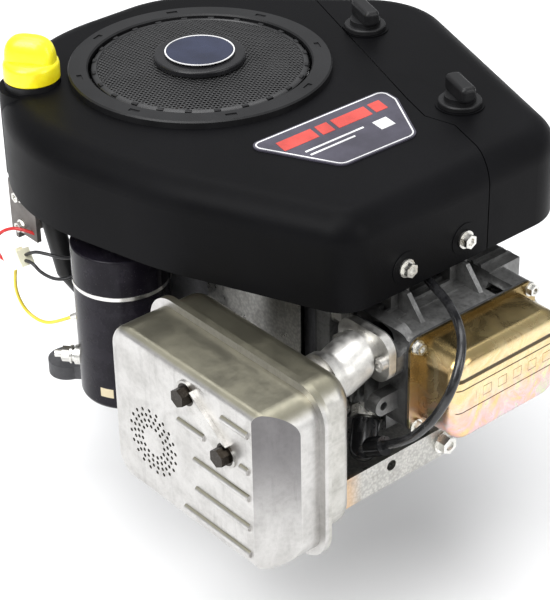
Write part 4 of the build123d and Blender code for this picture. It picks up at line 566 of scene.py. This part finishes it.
BRASS = plated_steel("turned_brass", (0.72, 0.58, 0.30), (0.60, 0.46, 0.22), (0.24, 0.38))
COPPER = plated_steel("windings", (0.56, 0.26, 0.12), (0.36, 0.17, 0.09), (0.3, 0.45), 700, (1, 1, 0.2))
CAST_HEAD = cast_metal("cast_head", (0.26, 0.26, 0.255), (0.13, 0.13, 0.128), (0.32, 0.50))
CAST_BLOCK = cast_metal("cast_block", (0.10, 0.10, 0.105), (0.055, 0.055, 0.058), (0.45, 0.65), 0.7)
CAST_SUMP = cast_metal("cast_sump", (0.13, 0.13, 0.135), (0.07, 0.07, 0.075), (0.45, 0.65), 0.7)
CAST_CARB = cast_metal("cast_carburettor", (0.60, 0.60, 0.58), (0.46, 0.46, 0.45), (0.36, 0.52))
CAST_GREY = cast_metal("cast_regulator", (0.22, 0.205, 0.195), (0.15, 0.14, 0.13), (0.5, 0.66), 0.6)
IRON = cast_metal("cast_iron", (0.10, 0.10, 0.10), (0.16, 0.10, 0.07), (0.5, 0.7), 0.8, 0.0004)
RUBBER = rubber("black_rubber", (0.010, 0.010, 0.011))
GLOSSY_RUBBER = rubber("glossy_lead", (0.008, 0.008, 0.009), (0.14, 0.24), 0.00002)
GASKET = rubber("gasket", (0.020, 0.020, 0.020), (0.5, 0.65), 0.0001)
RED = rubber("red_insulation", (0.50, 0.012, 0.012))
YELLOW_WIRE = rubber("yellow_insulation", (0.78, 0.60, 0.05))
PAINT = gloss_paint("starter_paint", (0.006, 0.005, 0.008), marked=True)
BRACKET = gloss_paint("bracket_paint", (0.016, 0.016, 0.016))
MUFFLER = muffler_sheet("muffler_sheet", (0.54, 0.53, 0.515), (0.40, 0.39, 0.375))
MUFFLER_BACK = muffler_sheet("muffler_back_sheet", (0.52, 0.51, 0.48), (0.36, 0.35, 0.32), (1, 0.08, 1))
GOLD = gold_plating("gold_plating")
STRAP = galvanised("galvanised")
LOCK = lock_steel("lock_plate_steel")
PAPER = pleated_paper("filter_paper")
PALE_PRINT = moulded_plastic("pale_print", (0.62, 0.62, 0.62), (0.36, 0.44), 2600, 0.00002, 0.2)
RED_PRINT = moulded_plastic("red_print", (0.42, 0.045, 0.035), (0.34, 0.42), 2600, 0.00002, 0.2)
EMBLEM = moulded_plastic("emblem_film", (0.016, 0.020, 0.042), (0.26, 0.36), 2600, 0.00002, 0.2,
                         specular=0.3)

FINISHES = {
    "sump": CAST_SUMP, "gaskets_and_seals": GASKET, "case_fittings": ZINC_DULL, "cylinder_block": CAST_BLOCK,
    "crankshaft": FORGED, "camshaft": FORGED, "piston": ALLOY, "connecting_rod": ALLOY, "flywheel": IRON,
    "cooling_fan": NYLON, "rotating_screen": SCREEN, "screen_hub": HUB, "stator": COPPER,
    "ignition_coil": DARK_PLASTIC, "cylinder_head": CAST_HEAD, "intake_valve": GROUND,
    "exhaust_valve": GROUND, "valve_springs": SPRING, "intake_rocker": FORGED, "exhaust_rocker": FORGED,
    "rocker_shaft": GROUND, "intake_pushrod": GROUND, "exhaust_pushrod": GROUND, "rocker_cover": GOLD,
    "spark_plug": ZINC, "spark_plug_boot": GLOSSY_RUBBER, "spark_plug_lead": GLOSSY_RUBBER,
    "muffler_front": MUFFLER,
    "muffler_back": MUFFLER_BACK, "exhaust_fasteners": LOCK, "exhaust_pipe": ZINC_DULL,
    "muffler_strap": STRAP, "flanged_screws": ZINC, "starter_housing": PAINT, "starter_armature": COPPER,
    "starter_pinion": FORGED, "terminals_and_clips": ZINC, "blower_housing": HOUSING,
    "air_cleaner_cover": HOUSING, "guard_ring": RING, "badge_plate": BADGE, "cover_knob_left": DARK_PLASTIC,
    "cover_knob_right": DARK_PLASTIC, "oil_fill_tube": DARK_PLASTIC, "dipstick": YELLOW,
    "voltage_regulator": CAST_GREY, "harness_connector": CREAM, "carburettor": CAST_CARB,
    "throttle_shaft": BRASS, "choke_shaft": BRASS, "governor_lever": ZINC, "governor_link": ZINC,
    "control_bracket": BRACKET, "control_lever": ZINC_DULL, "air_cleaner_base": DARK_PLASTIC,
    "air_filter": PAPER, "red_wire": RED, "yellow_wire": YELLOW_WIRE, "black_wire_upper": RUBBER,
    "black_wire_lower": RUBBER,
}
for node, finish in FINISHES.items():
    dress(node, finish)
for node, cord in cords.items():
    cord.data.materials.append(FINISHES[node])


# ---------------------------------------------------------------- piece building blocks
def add_piece(name, mesh, body, material, slot, *nodes):
    """Links a finished mesh as a piece that rides on body, in place of the named CAD nodes."""
    piece = bpy.data.objects.new(name, mesh)
    bpy.context.scene.collection.objects.link(piece)
    mesh.materials.append(material)
    mesh.set_sharp_from_angle(angle=SHARP_ANGLE)
    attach(piece, body)
    if nodes:
        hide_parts(*nodes)
    return piece


def mesh_from(name, vertices, faces, smooth=True):
    """Mesh from places in millimetres, with its normals turned outward."""
    mesh = bpy.data.meshes.new(name)
    mesh.from_pydata([tuple(value * MM for value in place) for place in vertices], [], faces)
    shape = bmesh.new()
    shape.from_mesh(mesh)
    bmesh.ops.remove_doubles(shape, verts=shape.verts, dist=1e-6)
    bmesh.ops.recalc_face_normals(shape, faces=shape.faces)
    shape.to_mesh(mesh)
    shape.free()
    for face in mesh.polygons:
        face.use_smooth = smooth
    return mesh


def turned(profile, steps, centre=(0, 0)):
    """Vertices and faces of a profile of (radius, z) turned about an upright axis."""
    vertices, faces = [], []
    for step in range(steps):
        turn = 2 * pi * step / steps
        vertices += [(centre[0] + r * cos(turn), centre[1] + r * sin(turn), z) for r, z in profile]
    count = len(profile)
    for step in range(steps):
        following = (step + 1) % steps
        for k in range(count):
            after = (k + 1) % count
            faces.append((step * count + k, following * count + k, following * count + after,
                          step * count + after))
    return vertices, faces


def joined(*parts):
    """Several (vertices, faces) as one."""
    vertices, faces = [], []
    for some_vertices, some_faces in parts:
        shift = len(vertices)
        vertices += some_vertices
        faces += [tuple(index + shift for index in face) for face in some_faces]
    return vertices, faces


ARC_STEPS = 8


def rounded_loop(corners, radii):
    """Outline through the corners with round stretches of the given radii, as (x, y) places."""
    loop = []
    count = len(corners)
    for k in range(count):
        here = Vector(corners[k])
        before = (Vector(corners[k - 1]) - here).normalized()
        after = (Vector(corners[(k + 1) % count]) - here).normalized()
        half = before.angle(after) / 2
        reach = radii[k] / tan(half)
        middle = here + (before + after).normalized() * (radii[k] / sin(half))
        start, end = here + before * reach - middle, here + after * reach - middle
        span = pi - 2 * half
        for step in range(ARC_STEPS + 1):
            share = step / ARC_STEPS
            direction = start * sin((1 - share) * span) + end * sin(share * span)
            loop.append(tuple(middle + direction.normalized() * radii[k]))
    return loop


def plate(loop, z0, z1, soft):
    """Flat plate over an outline, with a chamfer of the size soft round its top."""
    count = len(loop)
    levels = [(loop, z0), (loop, z1 - soft), (shrunk(loop, soft), z1)]
    vertices = [(x, y, z) for outline, z in levels for x, y in outline]
    faces = []
    for level in range(len(levels) - 1):
        for k in range(count):
            after = (k + 1) % count
            faces.append((level * count + k, level * count + after, (level + 1) * count + after,
                          (level + 1) * count + k))
    faces += [tuple(range(count)), tuple(range((len(levels) - 1) * count, len(levels) * count))]
    return vertices, faces


def shrunk(loop, distance):
    """The outline moved inward by distance."""
    count = len(loop)
    area = sum(loop[k - 1][0] * loop[k][1] - loop[k][0] * loop[k - 1][1] for k in range(count))
    side = 1 if area > 0 else -1
    moved = []
    for k in range(count):
        along = (Vector(loop[(k + 1) % count]) - Vector(loop[k - 1])).normalized()
        moved.append((loop[k][0] - along.y * distance * side, loop[k][1] + along.x * distance * side))
    return moved


def frame_strip(loop, outer, inner, z0, z1):
    """Raised line that follows an outline between two insets."""
    outside, inside = shrunk(loop, outer), shrunk(loop, inner)
    count = len(loop)
    vertices = [(x, y, z) for outline, z in ((outside, z0), (outside, z1), (inside, z1), (inside, z0))
                for x, y in outline]
    faces = []
    for ring in range(4):
        for k in range(count):
            after = (k + 1) % count
            following = (ring + 1) % 4
            faces.append((ring * count + k, ring * count + after, following * count + after,
                          following * count + k))
    return vertices, faces


# ---------------------------------------------------------------- rotating screen
SCREEN_R = 86.5
SCREEN_RIM_R = 82.4
HUB_R = 31.0
HOLE_PITCH = 3.3
HOLE_R = 1.12
SHEET = 0.7
TABS = 24
EMBLEM_FOOT = 309.1


def screen_height(radius):
    """Top of the slightly domed screen."""
    return 301.3 - 3.6 * ((radius - HUB_R) / (SCREEN_R - HUB_R)) ** 2


def screen_cell(x, y):
    """Six-sided cell of the sheet with one round hole."""
    corner_r = HOLE_PITCH / sqrt(3)
    places = [(x + corner_r * cos(radians(60 * k + 30)), y + corner_r * sin(radians(60 * k + 30)))
              for k in range(6)]
    places += [(x + HOLE_R * cos(radians(30 * k + 30)), y + HOLE_R * sin(radians(30 * k + 30)))
               for k in range(12)]
    vertices = [(vx, vy, screen_height(hypot(vx, vy))) for vx, vy in places]
    faces = [(k, (k + 1) % 6, 6 + (2 * k + 2) % 12, 6 + 2 * k + 1, 6 + 2 * k) for k in range(6)]
    return vertices, faces


def make_screen_sheet():
    """Thin domed sheet with staggered round holes."""
    reach = int(SCREEN_R / HOLE_PITCH) + 2
    cells = []
    for row in range(-reach, reach + 1):
        for column in range(-reach, reach + 1):
            x = HOLE_PITCH * (column + 0.5 * (row % 2))
            y = HOLE_PITCH * sqrt(3) / 2 * row
            if HUB_R - 0.5 < hypot(x, y) < SCREEN_RIM_R + 0.5:
                cells.append(screen_cell(x, y))
    sheet = mesh_from("screen_sheet", *joined(*cells), smooth=False)
    piece = add_piece("screen_sheet", sheet, "crank", SCREEN, "screen_metal", "rotating_screen")
    thick = piece.modifiers.new("thickness", "SOLIDIFY")
    thick.thickness = SHEET * MM
    thick.offset = -1


def make_screen_rim():
    """Rolled rim of the screen, and the collar under the hub."""
    rim = turned([(81.6, 298.1), (82.2, 298.9), (83.4, 298.7), (85.4, 298.2), (86.4, 297.2), (86.5, 292.6),
                  (85.4, 292.6), (84.9, 296.2), (83.2, 297.2)], 128)
    collar = turned([(HUB_R - 1, 300.4), (HUB_R - 1, 301.9), (33.4, 301.9), (34.6, 300.6)], 64)
    add_piece("screen_rim", mesh_from("screen_rim", *joined(rim, collar)), "crank", SCREEN, "screen_metal")


def make_screen_tabs():
    """Raised tabs spaced evenly round the rim."""
    tabs = []
    for tab in range(TABS):
        turn = 2 * pi * tab / TABS
        corners = [(83.0, -2.6), (86.1, -2.6), (86.1, 2.6), (83.0, 2.6)]
        loop = [(x * cos(turn) - y * sin(turn), x * sin(turn) + y * cos(turn)) for x, y in corners]
        tabs.append(plate(loop, 297.4, 299.2, 0.4))
    mesh = mesh_from("screen_tabs", *joined(*tabs), smooth=False)
    add_piece("screen_tabs", mesh, "crank", RING, "screen_metal")


def make_hub_emblem():
    """Plain pale ring round a dark disc in the middle of the hub."""
    disc = turned([(0.01, EMBLEM_FOOT), (0.01, 309.75), (25.9, 309.75), (26.5, 309.3),
                   (26.5, EMBLEM_FOOT)], 96)
    add_piece("hub_disc", mesh_from("hub_disc", *disc), "crank", EMBLEM, "hub_plastic")
    ring = turned([(26.8, EMBLEM_FOOT), (26.8, 309.7), (27.8, 309.7), (27.8, EMBLEM_FOOT)], 96)
    add_piece("hub_ring", mesh_from("hub_ring", *ring), "crank", PALE_PRINT, "hub_plastic")


# ---------------------------------------------------------------- oil filler cap
CAP_PLACE = (-70, -113)
CAP_FOOT = 298.3
CAP_TOP = 334.2
CAP_TURN = radians(35)
GRIP_STEPS = 56
GRIP_LEVELS = 14
GRIP_POWER = 2.9                          # squareness of the grip's rounded outline


def rounded_grip(place, turn, half_length, half_width, z0, z1, flare):
    """Fat rounded wedge that stands on z0, wider at its foot, with a softly domed top."""
    vertices, faces = [], []
    for level in range(GRIP_LEVELS):
        share = sin(level / (GRIP_LEVELS - 1) * pi / 2)
        swell = max(1 - share ** GRIP_POWER, 0.0008) ** (1 / GRIP_POWER)
        for step in range(GRIP_STEPS):
            angle = 2 * pi * step / GRIP_STEPS
            round_x, round_y = (copysign(abs(value) ** (2 / GRIP_POWER), value)
                                for value in (cos(angle), sin(angle)))
            x = half_length * swell * round_x
            y = (half_width + flare * (1 - share)) * swell * round_y
            vertices.append((place[0] + x * cos(turn) - y * sin(turn),
                             place[1] + x * sin(turn) + y * cos(turn), z0 + (z1 - z0) * share))
    for level in range(GRIP_LEVELS - 1):
        for step in range(GRIP_STEPS):
            after = (step + 1) % GRIP_STEPS
            here, above = level * GRIP_STEPS, (level + 1) * GRIP_STEPS
            faces.append((here + step, here + after, above + after, above + step))
    last = (GRIP_LEVELS - 1) * GRIP_STEPS
    faces += [tuple(range(GRIP_STEPS)), tuple(range(last, last + GRIP_STEPS))]
    return vertices, faces


def make_filler_cap():
    """Yellow cap with a fat wedge grip, and the steel gauge rod under it."""
    foot = turned([(0.01, CAP_FOOT), (21.6, CAP_FOOT), (22.4, CAP_FOOT + 0.9), (22.4, CAP_FOOT + 11.5),
                   (21.9, CAP_FOOT + 13.6), (20.4, CAP_FOOT + 15.4), (18.0, CAP_FOOT + 16.6),
                   (0.01, CAP_FOOT + 17)], 96, CAP_PLACE)
    grip = rounded_grip(CAP_PLACE, CAP_TURN, 20.6, 10.5, CAP_FOOT + 14, CAP_TOP, 2.2)
    plug = turned([(0.01, 286), (6.6, 286), (6.6, CAP_FOOT + 1), (0.01, CAP_FOOT + 1)], 48, CAP_PLACE)
    add_piece("filler_cap_top", mesh_from("filler_cap_top", *joined(foot, grip, plug)), "filler_cap", YELLOW,
              "yellow_cap", "dipstick")
    gauge = turned([(0.01, 206), (1.7, 206), (2, 206.6), (2, 287), (0.01, 287)], 24, CAP_PLACE)
    add_piece("gauge_rod", mesh_from("gauge_rod", *gauge), "filler_cap", GROUND, "yellow_cap")


# ---------------------------------------------------------------- badge
BADGE_CORNERS = [(127, -62), (128, 78), (147, 76), (200, 46), (198, -27)]
BADGE_RADII = [8, 8, 10, 12, 10]
BADGE_TOP = 295.2
PRINT_TOP = BADGE_TOP + 0.3
PRINT_SOFT = 0.15


def badge_bar(x0, x1, y0, y1, lean):
    """Leaning bar on the badge; x is across the lines and y along them."""
    loop = [(x0, y0 + lean), (x1, y0), (x1, y1), (x0, y1 + lean)]
    return plate(loop, BADGE_TOP - 0.1, PRINT_TOP, PRINT_SOFT)


def make_badge():
    """Pale border, a red band with gaps, two thin pale lines and a pale block, with no lettering."""
    loop = rounded_loop(BADGE_CORNERS, BADGE_RADII)
    strip = frame_strip(loop, 1.6, 2.8, BADGE_TOP - 0.1, BADGE_TOP + 0.25)
    border = mesh_from("badge_border", *strip, smooth=False)
    add_piece("badge_border", border, "engine", PALE_PRINT, "badge_face")
    red = [badge_bar(139, 153, y, y + length, 3) for y, length in ((-44, 34), (-6, 12), (10, 34), (48, 12))]
    band = mesh_from("badge_band", *joined(*red), smooth=False)
    add_piece("badge_band", band, "engine", RED_PRINT, "badge_face")
    pale = [badge_bar(163, 165, -34, 24, 0.5), badge_bar(169, 171, -34, 10, 0.5),
            badge_bar(163, 176, 32, 46, 2)]
    lines = mesh_from("badge_lines", *joined(*pale), smooth=False)
    add_piece("badge_lines", lines, "engine", PALE_PRINT, "badge_face")


make_screen_sheet()
make_screen_rim()
make_screen_tabs()
make_hub_emblem()
make_filler_cap()
make_badge()
